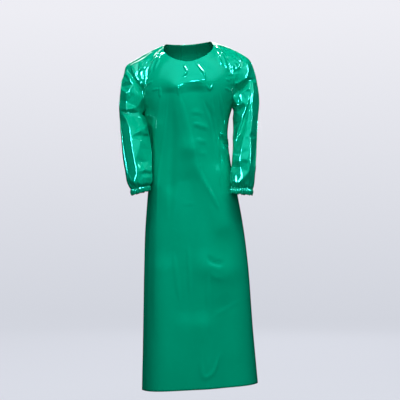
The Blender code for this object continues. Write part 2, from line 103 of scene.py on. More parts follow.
# How finely each piece is divided. The ties are placed by the solids' coarser rows and columns.
SOLID_SEAM_ROWS = 10
SOLID_SKIRT_ROWS = 24
SOLID_BACK_COLUMNS = 10
SOLID_OVERLAP_COLUMNS = 4
MIDDLE_COLUMN = SOLID_BACK_COLUMNS + SOLID_OVERLAP_COLUMNS // 2
ROWS_PER_SEAM_ROW = 11
ROWS_PER_SKIRT_ROW = 6
FRONT_COLUMNS = 184
COLUMNS_PER_BACK_COLUMN = 9
COLUMNS_PER_OVERLAP_COLUMN = 4
SLEEVE_RINGS = 176
CUFF_RINGS = 12
CUFF_POINTS = 480

SIDES = {-1: "right", 1: "left"}  # the wearer's


def table(columns, *rows):
    """Named columns of numbers, each as an array. Columns whose names end in _mm are turned to metres."""
    named = {}
    for name, values in zip(columns.split(), np.array(rows, float).T):
        named[name.removesuffix("_mm")] = values / 1000 if name.endswith("_mm") else values
    return named


# The body's outline at each drop: where its middle lies, half its width, its depth in front of the side
# seams and behind them, and the power that squares its oval (2 is an ellipse).
BODY = table(
    "drop_mm centre_mm half_mm front_mm back_mm power",
    (-30, 0, 70, 40, 52, 2.0),
    (-8, 0, 91, 56, 66, 2.0),
    (6, 1, 108, 68, 78, 2.0),
    (20, 2, 136, 80, 88, 2.0),
    (60, 3, 186, 99, 102, 2.0),
    (118, 5, 203, 120, 112, 2.1),
    (165, 5, 202, 130, 114, 2.2),
    (205, 4, 194, 133, 113, 2.2),
    (262, 3, 174, 132, 110, 2.2),
    (295, 2, 165, 130, 106, 2.2),
    (352, 3, 156, 127, 101, 2.2),
    (440, 9, 156, 126, 99, 2.2),
    (600, 17, 179, 132, 122, 2.3),
    (744, 25, 197, 138, 135, 2.4),
    (860, 31, 206, 142, 140, 2.4),
    (1148, 40, 220, 148, 146, 2.5),
    (1400, 49, 234, 153, 150, 2.6),
)

# The neckline's drop at each turn from the middle of the front, in degrees.
NECKLINE = table(
    "turn drop_mm",
    (-20, 59),
    (0, 78),
    (20, 59),
    (35, 35),
    (48, 18.5),
    (60, 8.5),
    (75, -1),
    (90, -8),
    (120, -11),
    (180, -10),
    (240, -11),
)

# The front raglan seam, from the neckline (share 0) to the underarm (share 1). The back one mirrors it.
RAGLAN = table(
    "share turn",
    (0.00, 60.0),
    (0.08, 54.5),
    (0.20, 50.5),
    (0.43, 52.0),
    (0.62, 55.5),
    (0.77, 62.0),
    (0.91, 71.0),
    (0.97, 79.0),
    (1.00, 90.0),
)

# A sleeve's outline seen from the front, by its reach: a point on its outer line, the point across from it
# on its inner line, how far behind the origin its middle lies, and half its depth.
SLEEVE_RIGHT = table(
    "reach_mm outer_x_mm outer_z_mm inner_x_mm inner_z_mm centre_y_mm half_depth_mm",
    (0, -92, 2, -171, -273, 0, 68),
    (50, -140, -21, -174.5, -276.5, 0, 67),
    (93, -180, -42, -176.5, -280.5, 0, 67),
    (134, -217, -64, -177, -286, 0, 67),
    (172, -244, -87, -176.5, -292, 0, 67),
    (222, -260, -135, -174.5, -301, -4, 68),
    (278, -270, -190, -169, -316, -12, 69),
    (332, -274, -244, -162, -338, -22, 69),
    (396, -270, -308, -156, -370, -36, 68),
    (468, -264, -380, -149, -413, -55, 66),
    (538, -257, -450, -145, -464, -75, 62),
    (593, -248, -504, -144, -509, -90, 58),
    (642, -238, -552, -143, -545, -101, 52),
    (671, -225, -580, -147, -564, -104, 43),
    (700, -219, -606, -149, -587, -107, 40),
)
SLEEVE_LEFT = table(
    "reach_mm outer_x_mm outer_z_mm inner_x_mm inner_z_mm centre_y_mm half_depth_mm",
    (0, 92, 14, 177, -251, 0, 68),
    (70, 160, -10, 180, -256, 0, 67),
    (127, 212, -35, 181.5, -262.5, 0, 67),
    (164, 243, -57, 181.5, -269, 0, 67),
    (212, 264, -100, 180.5, -278, 0, 68),
    (269, 277, -156, 179, -290, 0, 69),
    (350, 285, -236, 179.5, -315, -8, 69),
    (403, 280, -290, 180, -345, -22, 68),
    (467, 275, -352, 179, -386, -44, 67),
    (531, 272, -416, 177, -430, -68, 64),
    (597, 268, -482, 172, -483, -88, 59),
    (663, 261, -548, 167, -540, -102, 53),
    (693, 256, -576, 170, -570, -106, 44),
    (724, 250, -606, 169, -599, -109, 41),
)
SLEEVES = {-1: SLEEVE_RIGHT, 1: SLEEVE_LEFT}

# The largest folds, which the solids have too: each runs between two points seen from the front. Side is
# -1 on the front and 1 on the back. Width is the distance in which a fold fades.
BODY_FOLDS = table(
    "side x0_mm z0_mm x1_mm z1_mm width_mm rise_mm",
    (-1, -45, -190, 10, -420, 32, 6),
    (-1, 10, -420, 135, -720, 38, 8.5),
    (-1, 40, -200, 115, -470, 32, -7),
    (-1, -85, -210, -70, -560, 32, -6),
    (-1, -118, -330, -125, -560, 26, 5),
    (-1, 0, -560, -10, -1050, 45, -7),
    (-1, 85, -885, 145, -905, 50, 9),
    (-1, 66, -1120, 80, -1350, 42, 9),
    (-1, 150, -1050, 160, -1350, 45, -7),
    (-1, -100, -900, -110, -1370, 50, 7),
    (-1, -165, -640, -172, -1370, 35, -6),
    (1, -100, -520, -125, -1360, 40, 11),
    (1, -35, -700, -40, -1360, 40, -9),
    (1, 105, -520, 115, -1360, 42, 11),
    (1, 160, -500, 190, -1360, 36, -8),
    (1, -110, -130, -50, -350, 34, 6),
    (1, 120, -130, 65, -350, 34, 6),
)
SLEEVE_FOLDS = table(
    "side x0_mm z0_mm x1_mm z1_mm width_mm rise_mm",
    (-1, -236, -100, -190, -180, 22, -8),
    (-1, -250, -150, -215, -225, 22, 6),
    (-1, -262, -275, -200, -290, 24, -8),
    (-1, -240, -340, -195, -540, 26, 6),
    (-1, 200, -186, 246, -134, 22, -9),
    (-1, 255, -190, 215, -260, 24, 5),
    (-1, 245, -280, 205, -330, 24, -7),
    (-1, 240, -350, 225, -460, 26, 6),
    (-1, 195, -520, 245, -495, 26, 6),
    (1, -250, -260, -190, -300, 26, -8),
    (1, -245, -340, -185, -370, 28, 7),
    (1, 265, -250, 205, -285, 26, -8),
    (1, 262, -340, 200, -370, 28, 7),
)
FOLD_FADE = 0.030  # folds die out this far from a raglan seam
FACING_FADE = 0.35  # a fold shows on the side of the film that faces its way

# The creases that only the film has, laid on each side (-1 in front, 1 behind), in millimetres as the
# camera sees them in the plane of the shoulders, or straight from behind: how far a crease's flanks reach to
# the left and right of its run, its rise, how sharp its crest is (0 soft, 1 a line), and the points of its
# run, each as its x and its drop.
BODY_CREASES = {
    -1: (
        # The chest rolls over, and the film breaks sharply below its middle.
        (80, 34, 6.0, 0.40, -116, 184, -72, 168, -26, 162, 40, 158, 76, 164, 112, 188),
        (26, 11, 2.6, 0.75, -24, 156, 8, 150, 44, 149, 66, 154),
        # Short tension lines in the upper chest.
        (7, 7, 4.0, 0.35, -4, 70, -14, 86, -4, 106, -18, 124, -28, 128),
        (7, 8, 3.4, 0.35, 26, 58, 38, 80, 52, 98, 66, 116, 68, 132, 60, 148),
        (8, 8, 2.6, 0.40, 68, 154, 88, 177, 102, 150),
        (9, 8, 1.8, 0.60, -170, 158, -154, 152, -136, 144),
        (9, 8, 1.8, 0.60, -146, 184, -130, 178, -114, 176),
        (9, 8, 1.8, 0.60, 148, 132, 160, 140, 174, 146),
        (9, 8, 1.8, 0.60, 144, 170, 158, 176, 176, 186),
        (8, 8, 2.6, 0.30, -124, 30, -138, 60, -150, 96, -158, 140),
        (8, 7, 2.2, 0.30, -108, 40, -122, 68, -140, 110),
        (7, 7, 3.0, 0.80, 126, 20, 140, 48, 152, 84, 160, 120),
        (7, 7, 2.6, 0.80, 114, 24, 126, 56, 142, 92),
        # Bands that hang from the chest.
        (8, 8, 3.6, 0.75, -112, 164, -111, 214),
        (8, 8, 3.0, 0.75, -38, 160, -38, 206),
        (16, 9, 2.4, 0.70, -111, 172, -115, 228, -124, 308, -128, 408, -128, 520),
        (9, 9, 2.4, 0.60, -80, 172, -88, 272, -104, 408, -120, 540, -124, 740),
        (12, 22, 2.6, 0.75, -38, 160, -34, 200, -17, 260, 8, 360, 38, 488),
        (16, 26, 2.6, 0.50, 20, 420, 38, 488, 75, 568, 136, 676),
        (12, 14, 2.8, 0.50, 48, 500, 72, 556, 100, 608, 132, 672),
        (26, 20, -3.0, 0.30, -64, 188, -60, 340, -68, 500, -72, 740),
        (20, 12, -3.6, 0.50, 60, 212, 76, 248, 95, 288, 108, 360, 112, 420),
        (12, 14, 3.2, 0.60, 92, 176, 99, 272, 116, 372, 122, 472, 140, 604),
        (9, 9, 2.6, 0.60, 124, 180, 138, 260, 152, 324, 162, 368),
        # Drag folds across the belly.
        (16, 7, 3.0, 0.70, 0, 270, 36, 272, 72, 284),
        (10, 6, 2.0, 0.70, 10, 294, 32, 296, 56, 302),
        (20, 7, 4.6, 0.85, 8, 314, 48, 324, 92, 342),
        (14, 8, 3.4, 0.70, 24, 381, 52, 386, 84, 396),
        (12, 8, 2.4, 0.60, 36, 428, 60, 434, 84, 440),
        (8, 7, 1.8, 0.60, 42, 480, 56, 486),
        # The dimple above the knee, and long soft folds of the skirt.
        (26, 16, -4.4, 0.50, 68, 836, 92, 866, 124, 876, 156, 868),
        (12, 9, 2.2, 0.60, 84, 916, 112, 930, 148, 934),
        (9, 8, 1.6, 0.50, 84, 1096, 140, 1064, 180, 1040, 228, 1018),
        (10, 10, 1.2, 0.50, -36, 634, 0, 632, 36, 638),
        (60, 26, 4.0, 0.40, -128, 600, -124, 760, -126, 940, -132, 1200),
        (14, 18, 2.2, 0.50, 76, 884, 81, 980, 80, 1092, 72, 1200),
        (12, 12, 2.6, 0.50, 54, 1200, 52, 1284, 70, 1332, 96, 1318, 120, 1264, 144, 1200),
        (16, 16, 2.0, 0.40, -60, 820, -48, 920, -32, 1040),
        (14, 14, 1.8, 0.40, 0, 780, 4, 900, 8, 1020),
        (60, 60, -3.0, 0.00, -50, 620, -58, 900, -66, 1340),
        (50, 50, 2.2, 0.00, 150, 940, 176, 1120, 196, 1328),
        # The tie draws the waist back.
        (14, 12, -8.5, 0.40, 122, 350, 146, 384, 174, 420),
        (10, 18, 6.0, 0.50, 128, 388, 150, 422, 176, 466),
        # The side under the right arm hangs over in a flat fold.
        (30, 9, 5.0, 0.80, -182, 284, -160, 284, -134, 288),
        (16, 18, -4.0, 0.40, -156, 300, -152, 360, -146, 428),
        (34, 26, 2.6, 0.30, -134, 300, -134, 380, -132, 468, -128, 600),
    ),
    1: (
        # Behind, the film falls from the shoulders and is drawn in by the waist tie.
        (30, 24, 3.0, 0.50, -90, 110, -70, 210, -40, 300, -24, 390),
        (24, 30, 3.0, 0.50, 104, 100, 84, 200, 58, 300, 36, 390),
        (30, 30, -3.0, 0.20, -130, 160, -104, 280, -64, 380),
        (30, 30, -3.0, 0.20, 140, 150, 118, 280, 80, 380),
        (20, 12, 3.0, 0.70, -160, 386, -104, 404, -50, 412),
        (12, 20, 2.8, 0.70, -160, 456, -104, 440, -56, 428),
        (12, 20, 3.0, 0.70, 160, 376, 108, 400, 62, 410),
        (20, 12, 2.8, 0.70, 164, 456, 112, 440, 66, 428),
        (24, 34, 4.0, 0.55, -46, 436, -62, 560, -74, 860),
        (34, 24, 3.6, 0.55, 54, 436, 72, 600, 84, 900),
        (30, 30, -3.4, 0.20, -96, 460, -112, 640, -118, 960),
        (30, 30, -3.4, 0.20, 108, 460, 126, 660, 134, 980),
        (60, 50, 2.8, 0.10, -10, 700, -14, 1000, -20, 1340),
        (50, 60, 2.4, 0.10, 150, 760, 166, 1050, 180, 1330),
    ),
}
SLEEVE_CREASES = {
    -1: (
        # Small creases by the right shoulder.
        (8, 8, 4.0, 0.70, -228, 78, -221, 98, -212, 124),
        (8, 8, 3.0, 0.75, -196, 62, -192, 94, -210, 128),
        (8, 8, 3.0, 0.80, -146, 46, -170, 66, -190, 84),
        (7, 7, 2.8, 0.80, -172, 62, -160, 74, -174, 96),
        (7, 7, 2.5, 0.75, -179, 100, -176, 120, -180, 136),
        (8, 8, 2.5, 0.75, -150, 84, -160, 108, -162, 140),
        (12, 12, -3.0, 0.40, -262, 124, -246, 132, -232, 150),
        (12, 10, -2.4, 0.40, -268, 170, -246, 180, -222, 208),
        # Small creases by the left shoulder.
        (9, 9, 4.0, 0.75, 178, 52, 197, 68, 204, 86, 186, 106),
        (8, 8, 3.0, 0.75, 190, 38, 206, 58, 224, 44),
        (8, 8, 3.4, 0.75, 180, 74, 189, 92, 186, 112),
        (10, 10, -3.6, 0.60, 180, 30, 202, 40, 222, 66, 214, 96),
        (7, 7, 3.0, 0.70, 188, 150, 200, 156, 216, 142),
    ),
    1: (
        # The backs of both arms, where the same film folds at the elbow.
        (24, 14, 6.6, 0.70, -270, 184, -226, 236, -192, 268),
        (14, 14, -6.6, 0.50, -270, 232, -230, 262, -186, 284),
        (14, 24, 6.6, 0.75, -272, 282, -236, 306, -186, 312),
        (24, 20, 6.6, 0.70, -250, 350, -238, 430, -214, 540),
        (14, 14, 4.5, 0.60, -190, 350, -196, 420, -186, 510),
        (14, 24, 6.6, 0.70, 272, 164, 232, 216, 196, 252),
        (14, 14, -6.6, 0.50, 276, 226, 240, 256, 196, 278),
        (24, 14, 6.6, 0.75, 276, 276, 240, 300, 196, 306),
        (20, 24, 6.6, 0.70, 260, 340, 252, 440, 234, 550),
        (14, 14, 4.5, 0.60, 206, 340, 205, 430, 200, 530),
    ),
}

# The fold lines of each sleeve's front, in the same millimetres: the points of each line, as x, drop and how
# far the point stands out from the solids' form. The film is flat between the lines and the single points.
FACETS = {
    -1: (
        (-250, 86, 0, -262, 124, 0, -274, 172, 0, -279, 214, -1, -278, 258, 4, -273, 308, 0, -267, 368, 0,
         -259, 428, 0, -249, 492, 0, -242, 540, 0, -232, 588, 0),
        (-100, -4, 0, -120, 44, 0, -138, 92, 0, -154, 140, 0, -162, 188, 0, -164, 236, 0, -162, 276, 0,
         -158, 316, 0, -148, 364, 0, -140, 420, 0, -136, 480, 0, -134, 532, 0, -140, 580, 0),
        (-238, 84, 1, -218, 114, 4, -198, 140, 5, -176, 164, 3),
        (-244, 95, -2, -228, 122, -8, -208, 148, -10, -188, 176, -9, -177, 208, -8, -174, 252, -7,
         -169, 292, -4),
        (-249, 108, 1, -236, 132, 4, -218, 156, 5, -210, 196, 5, -203, 248, 3),
        (-168, 52, 1),
        (-188, 92, 1),
        (-152, 84, 0),
        (-172, 124, 0),
        (-204, 68, 1),
        (-279, 214, -1, -248, 228, -8, -224, 240, -5, -203, 248, 3),
        (-278, 258, 4, -248, 257, 9, -224, 255, 7, -196, 252, 1),
        (-260, 269, -4, -232, 270, -5, -196, 268, -4),
        (-246, 192, 1),
        (-271, 268, 1, -256, 284, 4, -244, 302, 6, -234, 328, 7, -228, 372, 7, -220, 420, 7, -212, 468, 6,
         -204, 512, 6, -197, 552, 5),
        (-228, 284, -3, -218, 322, -4),
        (-184, 292, 0),
        (-218, 322, -4, -200, 326, -5, -176, 324, -3),
        (-210, 353, 5, -192, 343, 9, -172, 332, 4),
        (-202, 363, -3, -184, 364, -8, -164, 354, -3),
        (-264, 340, -1, -254, 392, -5, -244, 436, -5, -234, 484, -4, -227, 528, -3),
        (-188, 384, 2, -194, 416, 2, -203, 444, 1),
        (-200, 455, -4, -184, 470, -13, -160, 466, -12, -144, 452, -3),
        (-190, 503, 3, -174, 498, 6, -148, 505, 4),
        (-186, 518, -2, -168, 512, -6, -144, 518, -4),
        (-178, 528, 0, -176, 568, 4),
        (-163, 532, 3, -161, 568, 4),
        (-235, 532, 1, -219, 550, 4, -204, 568, 3),
        (-240, 544, -2, -225, 563, -7, -212, 580, -6),
    ),
    1: (
        (104, -4, 0, 222, 32, 0, 246, 56, 0, 264, 92, 0, 278, 144, 0, 288, 200, 0, 287, 252, 0, 281, 308, 0,
         279, 368, 0, 275, 428, 0, 269, 492, 0, 263, 544, 0, 259, 588, 0),
        (104, 4, 0, 136, 36, 0, 164, 76, 0, 178, 120, 0, 182, 164, 0, 174, 212, 0, 172, 260, 0, 174, 312, 0,
         176, 368, 0, 172, 428, 0, 166, 484, 0, 162, 532, 0, 162, 580, 0),
        (208, 52, 1),
        (216, 92, 1),
        (196, 124, 0),
        (184, 68, 1),
        (188, 157, 3, 208, 148, 8, 228, 136, 11, 245, 129, 7),
        (194, 192, -8, 211, 180, -15, 231, 165, -15, 249, 140, -8),
        (235, 52, 0, 242, 76, 4, 243, 104, 5, 245, 129, 5),
        (249, 140, -8, 252, 184, -7, 246, 232, -9, 228, 292, -11, 208, 352, -11, 190, 412, -7),
        (237, 244, 1, 217, 292, 4, 197, 352, 5, 183, 400, 3),
        (184, 260, 1, 200, 242, 1, 220, 231, 2, 241, 226, -3),
        (200, 200, 0, 220, 186, 0, 244, 172, -1),
        (192, 268, -2, 194, 320, -8, 186, 380, -6),
        (212, 192, 1),
        (259, 148, 2, 261, 188, 3, 257, 236, 6, 256, 300, 6, 252, 344, 5, 246, 364, 2),
        (235, 366, 1, 232, 344, 4, 235, 312, 5, 244, 264, 5),
        (222, 368, 3, 214, 408, 5, 210, 436, 4),
        (251, 380, 3, 253, 420, 6, 251, 472, 7, 243, 508, 8, 222, 530, 8, 197, 553, 7),
        (181, 461, 4, 204, 463, 5, 233, 458, 3),
        (236, 472, -1, 210, 493, -6, 182, 518, -6, 165, 530, -3),
        (165, 540, 2, 180, 547, 5, 197, 553, 7),
        (165, 570, -3, 180, 574, -7, 195, 564, -5),
        (220, 556, 1, 218, 588, 3),
        (238, 540, 0, 236, 588, 3),
    ),
}
FACET_ROUND = 3.0  # the fold lines are rounded over this many millimetres

# Where the film stands out from the solids' form: each spot by the share of the way around its sleeve and its
# reach, or by its turn in whole circles and its drop on the body (side 0), how far it spreads each way, and
# its rise.
SLEEVE_SWELLS = table(
    "side around along_mm spread length_mm rise_mm",
    (-1, 0.00, 168, 0.16, 22, 5.0),
    (-1, 0.47, 235, 0.12, 45, 11.0),
    (-1, 0.44, 290, 0.10, 50, 5.5),
    (-1, 0.42, 380, 0.10, 70, 7.0),
    (-1, 0.43, 500, 0.10, 70, 7.0),
    (-1, 0.44, 610, 0.10, 50, 6.0),
    (-1, 0.20, 648, 0.16, 16, 3.0),
    (-1, 0.70, 646, 0.16, 16, 3.0),
    (1, 0.15, 668, 0.16, 16, 3.0),
    (1, 0.62, 664, 0.16, 16, 3.0),
)
BODY_SWELLS = table(
    "side around along_mm spread length_mm rise_mm",
    (0, -0.245, 292, 0.035, 38, 11.0),
    (0, -0.250, 380, 0.030, 50, 6.0),
)

CREASE_ENDS = 0.34  # the share of a crease over which each end fades in
CREASE_STEP = 6.0  # a crease's run is read in steps of this many millimetres
CREASE_FADE = 0.008  # creases die out this far from a raglan seam
CUFF_FADE = 0.022  # and this far above a cuff

# How the film rumples all over: the length of each swell, its rise, and the seed of its random ways. The
# skirt's weight pulls it flatter: below SKIRT_DROP it has only a share of them.
BODY_RUMPLES = ((0.12, 0.0005, 3), (0.05, 0.00022, 5))
SLEEVE_RUMPLES = ((0.08, 0.0004, 11), (0.03, 0.00025, 17))
SKIRT_DROP = 0.62
SKIRT_BLEND = 0.25  # the height above it over which the rest fades in
SKIRT_SHARE = 0.25
CRUMPLE = (0.06, 0.0028, 23)  # with sharp crests, on the upper sleeves alone
CRUMPLE_PLACE = 0.05  # the reach where it is strongest
CRUMPLE_SPREAD = 0.06

# The flat cut of each panel, sleeve and cuff.
CUTS = {
    "front": {
        "flat": (0.72, 1.36),
        "area": 0.70,
        "held": "hung",
        "rests_on": ["sleeve_left_film", "sleeve_right_film"],
    },
    "back": {"flat": (0.40, 1.38), "area": 0.41, "held": "hung", "rests_on": ["sleeve_left_film"]},
    "sleeve": {"flat": (0.50, 0.72), "area": 0.20, "held": "hung"},
    "cuff": {"flat": (0.30, 0.028), "held": "gathered"},
}

# The ties, each a strap from both sides, a knot and two tails, by the solids' rows and columns.
TIES = (
    {"name": "neck", "row": 1, "start": 5.0, "knot": 0.021, "tail_rows": 4.3},
    {"name": "waist", "row": 13, "start": 0.2, "knot": 0.027, "tail_rows": 5.3},
)

# The film's own patterns, in millimetres from one spot to the next.
CLOUDING = 142.9  # thicker patches, a shade deeper
SCUFFING = 38.46  # rubbed patches, a little duller
RIPPLING = 16.67  # the calender's fine ripple, drawn coarser than its few millimetres so that it shows

# The lamps. A fill lights the film but isn't mirrored in it. A bank, whose light fades towards its edges, and
# a strip or spot with hard edges show only in the gloss. The last column names the pieces that a lamp shines
# on, where that isn't all of them.
WHITE = "#FFFFFF"
LAMPS = (
    # name, kind, place, aim, size, watts, colour, the pieces that it serves
    ("overhead_fill", "fill", (0.3, -1.4, 2.6), (0.0, -0.1, -0.2), (3.2, 1.6), 190, "#EEF8FF", ""),
    ("front_fill", "fill", (-0.2, -5.0, 0.5), (0.0, 0.0, -0.7), (2.6, 2.0), 118, WHITE, ""),
    ("back_fill", "fill", (0.6, 5.0, 1.2), (0.0, 0.0, -0.7), (2.6, 2.0), 190, WHITE, ""),
    ("soft_bank", "bank", (0.3, -2.5, 2.3), (0.0, -0.1, -0.3), (9.0, 3.2), 238, WHITE, ""),
    ("right_bank", "bank", (-2.7, -1.0, 2.1), (-0.2, 0.0, -0.3), (2.8, 2.2), 110, WHITE, "right"),
    ("left_bank", "bank", (2.9, -1.0, 2.1), (0.2, 0.0, -0.3), (2.8, 2.2), 110, WHITE, "left"),
    ("back_bank", "bank", (-0.5, 2.9, 1.5), (0.0, 0.1, -0.2), (5.0, 2.2), 170, WHITE, ""),
    ("chest_strip", "strip", (0.46, -2.62, 1.28), (0.03, -0.1, -0.15), (0.85, 0.14), 112, WHITE, "body"),
    ("left_spot", "strip", (1.42, -0.02, 1.98), (0.04, -0.1, -0.1), (0.26, 0.26), 70, WHITE, "body"),
    ("right_spot", "strip", (-1.34, -0.02, 1.98), (-0.04, -0.1, -0.1), (0.26, 0.26), 60, WHITE, "body"),
    ("back_strip", "strip", (0.7, 2.6, 0.9), (0.0, 0.1, -0.3), (0.12, 1.4), 110, WHITE, "body"),
    ("right_strip", "strip", (-2.0, -1.4, 0.5), (-0.2, -0.1, -0.4), (0.25, 1.4), 480, WHITE, "right left"),
    ("left_strip", "strip", (2.2, -1.3, 1.0), (0.2, -0.1, -0.3), (0.25, 1.3), 260, WHITE, "left"),
)

# The backdrop: a round floor that bends up into a wall.
FLOOR_HEIGHT = -1.52
WALL_RADIUS = 8.0
WALL_BEND = 2.4
WALL_TOP = 6.0
WASH_TOP = 1.4  # the height at which the paper's painted glow is brightest

# The camera, and the plane of the shoulders that it frames.
CAMERA_PLACE = Vector((0.048, -5.5, -0.75))
FRAMED_WIDTH = 1.6  # of the plane of the shoulders
FRAMED_MIDDLE = -0.62  # the height of that plane's middle
SENSOR = 36.0


def through(knots, values, at):
    """A smooth curve through the values at the knots, read at the given places."""
    at = np.asarray(at, float)
    slopes = np.gradient(values, knots)
    i = np.clip(np.searchsorted(knots, at) - 1, 0, len(knots) - 2)
    step = knots[i + 1] - knots[i]
    t = np.clip((at - knots[i]) / step, 0.0, 1.0)
    rise = values[i + 1] - values[i]
    start, end = slopes[i] * step, slopes[i + 1] * step
    return values[i] + t * start + t * t * (3 * rise - 2 * start - end) + t**3 * (start + end - 2 * rise)


def read(sizes, at):
    """Every column of a table but the first, read at the given places in the first."""
    knots, *columns = sizes.values()
    return [through(knots, values, at) for values in columns]


def ease(t):
    """0 below 0, 1 above 1, and a smooth rise between them."""
    t = np.clip(t, 0.0, 1.0)
    return t * t * (3 - 2 * t)


def unit(vectors):
    """The vectors, each with a length of 1."""
    return vectors / np.maximum(np.linalg.norm(vectors, axis=-1, keepdims=True), 1e-12)


def stacked(x, y, z):
    """Points from arrays of their x, y and z."""
    return np.stack(np.broadcast_arrays(x, y, z), axis=-1)


def body_form(turn, drop):
    """A point of the body without its folds."""
    centre, half, front, back, power = read(BODY, drop)
    sine, cosine = np.sin(turn), np.cos(turn)
    across = half * np.sign(sine) * np.abs(sine) ** (2 / power)
    depth = np.where(cosine > 0, -front, back) * np.abs(cosine) ** (2 / power)
    return stacked(centre + across * math.cos(ROLL), depth, -drop + across * math.sin(ROLL))


def turned_to(directions, rough):
    """The directions, each turned round where it points against its rough one."""
    return np.where(np.sum(directions * rough, axis=-1, keepdims=True) < 0, -directions, directions)


def facing_out(surface, first, second, step=0.004):
    """The outward direction of a surface at its two measures, from the points a small step either side."""
    along_first = surface(first + step, second) - surface(first - step, second)
    along_second = surface(first, second + step) - surface(first, second - step)
    return unit(np.cross(along_second, along_first))


def fold_lift(points, outward, folds):
    """How far the largest folds raise each point."""
    lift = np.zeros(points.shape[:-1])
    for side, x0, z0, x1, z1, width, rise in zip(*folds.values()):
        run = np.array((x1 - x0, z1 - z0))
        start = points[..., (0, 2)] - (x0, z0)
        along = np.clip(start @ run / (run @ run), 0, 1)
        away = np.linalg.norm(start - along[..., None] * run, axis=-1)
        shows = ease(side * outward[..., 1] / FACING_FADE)
        lift += rise * shows * np.exp(-((away / width) ** 2))
    return lift


def seen_flat(points):
    """Where each point shows from the camera, in the plane of the shoulders, in millimetres."""
    eye = np.array(CAMERA_PLACE)
    away = -eye[1] / (points[..., 1] - eye[1])
    return 1000 * (eye[[0, 2]] + (points[..., (0, 2)] - eye[[0, 2]]) * away[..., None])


def smooth_run(run):
    """A crease's run as a smooth line of short steps."""
    run = np.reshape(run, (-1, 2)) * (1.0, -1.0)
    lengths = np.concatenate(([0], np.cumsum(np.linalg.norm(np.diff(run, axis=0), axis=1))))
    at = np.linspace(0, lengths[-1], max(3, round(lengths[-1] / CREASE_STEP)))
    return np.stack([through(lengths, run[:, axis], at) for axis in (0, 1)], axis=-1)


def beside_line(places, line):
    """How far along a line each place lies, from 0 to 1, on which side of it, and how far away."""
    way = np.diff(line, axis=0)
    length = np.linalg.norm(way, axis=1)
    way = way / length[:, None]
    offset = places[:, None] - line[:-1]
    t = np.clip(np.sum(offset * way, axis=-1), 0, length)
    rest = offset - t[..., None] * way
    away = np.linalg.norm(rest, axis=-1)
    nearest = np.argmin(away, axis=1)
    pick = (np.arange(len(nearest)), nearest)
    along = (nearest + (t / length)[pick]) / len(length)
    across = way[nearest, 0] * rest[pick][:, 1] - way[nearest, 1] * rest[pick][:, 0]
    return along, across, away[pick]


def crease_lift(points, outward, creases):
    """How far the listed creases raise each point, in metres."""
    places = {-1: seen_flat(points), 1: 1000 * points[..., (0, 2)]}
    lift = np.zeros(points.shape[:-1])
    for side, place in places.items():
        facing = side * outward[..., 1]
        for left, right, rise, sharp, *run in creases[side]:
            line = smooth_run(run)
            widest = max(left, right)
            near = np.all((place > line.min(axis=0) - widest) & (place < line.max(axis=0) + widest), axis=-1)
            near &= facing > 0
            along, across, away = beside_line(place[near], line)
            ends = ease(along / CREASE_ENDS) * ease((1 - along) / CREASE_ENDS)
            reach = away / (np.where(across > 0, left, right) * (0.5 + 0.5 * ends))
            blunt = 0.03 + 0.5 * (1 - sharp)
            flank = 1 - (np.hypot(reach, blunt) - blunt) / (math.hypot(1, blunt) - blunt)
            profile = np.clip(flank, 0, 1) ** (1.2 + 0.6 * (1 - sharp))
            lift[near] += rise / 1000 * profile * ends * ease(facing[near] / FACING_FADE)
    return lift


def facet_shift(points, outward, runs):
    """The move along the camera's line of sight that brings each point onto the flat facets between runs."""
    seen = outward[..., 1] < 0
    places, sight = seen_flat(points)[seen], points[seen] - np.array(CAMERA_PLACE)
    corners, edges = [], []
    for run in runs:
        first = len(corners)
        for x, drop, lift in np.reshape(run, (-1, 3)).tolist():
            nearest = np.argmin(np.sum((places - (x, -drop)) ** 2, axis=1))
            corners.append((x, -drop, sight[nearest, 1] - lift / 1000))
        edges += [(corner, corner + 1) for corner in range(first, len(corners) - 1)]
    seats = [Vector(corner[:2]) for corner in corners]
    flat, _, faces, sources, _, _ = delaunay_2d_cdt(seats, edges, [], 0, 0.1)
    depths = [corners[source[0]][2] if source else None for source in sources]
    turn = np.radians(np.arange(0, 360, 60))
    ring = FACET_ROUND * np.stack((np.cos(turn), np.sin(turn)), axis=-1)
    total = np.zeros(len(places))
    for shift in ((0.0, 0.0), *ring):
        depth = sight[:, 1].copy()
        for face in faces:
            if any(depths[corner] is None for corner in face):
                continue
            a, b, c = (np.array(flat[corner]) for corner in face)
            sides = np.linalg.inv(np.stack((b - a, c - a), axis=1))
            across, down = ((places + shift - a) @ sides.T).T
            inside = (across >= 0) & (down >= 0) & (across + down <= 1)
            start, end, other = (depths[corner] for corner in face)
            depth[inside] = (start + across * (end - start) + down * (other - start))[inside]
        total += depth
    move = np.zeros(points.shape)
    reach = (total / (1 + len(ring)) - sight[:, 1]) / sight[:, 1] * ease(-outward[seen][:, 1] / FACING_FADE)
    move[seen] = sight * reach[:, None]
    return move


def swell_lift(swells, side, around, along):
    """How far the film stands out from the solids' form, in metres."""
    lift = np.zeros(around.shape)
    for on, spot, at, spread, length, rise in zip(*swells.values()):
        apart = np.abs((around - spot + 0.5) % 1.0 - 0.5)
        if on == side:
            lift += rise * np.exp(-((apart / spread) ** 2) - ((along - at) / length) ** 2)
    return lift


def ripples(points, length, seed, waves=14):
    """A smooth uneven field of about -1 to 1 whose swells are about this length, the same each run."""
    random = np.random.default_rng(seed)
    ways = unit(random.normal(size=(waves, 3)))
    ways *= (2 * math.pi / length) * random.uniform(0.7, 1.4, (waves, 1))
    starts = random.uniform(0, 2 * math.pi, waves)
    return np.cos(points @ ways.T + starts).sum(axis=-1) / math.sqrt(waves * 2)


def rumple(points, rumples):
    """How far the film's uneven swells raise each point."""
    return sum(rise * ripples(points, length, seed) for length, rise, seed in rumples)


def raglan_turn(share):
    """The raglan seam's turn, by the share of its height."""
    return np.radians(read(RAGLAN, share)[0])


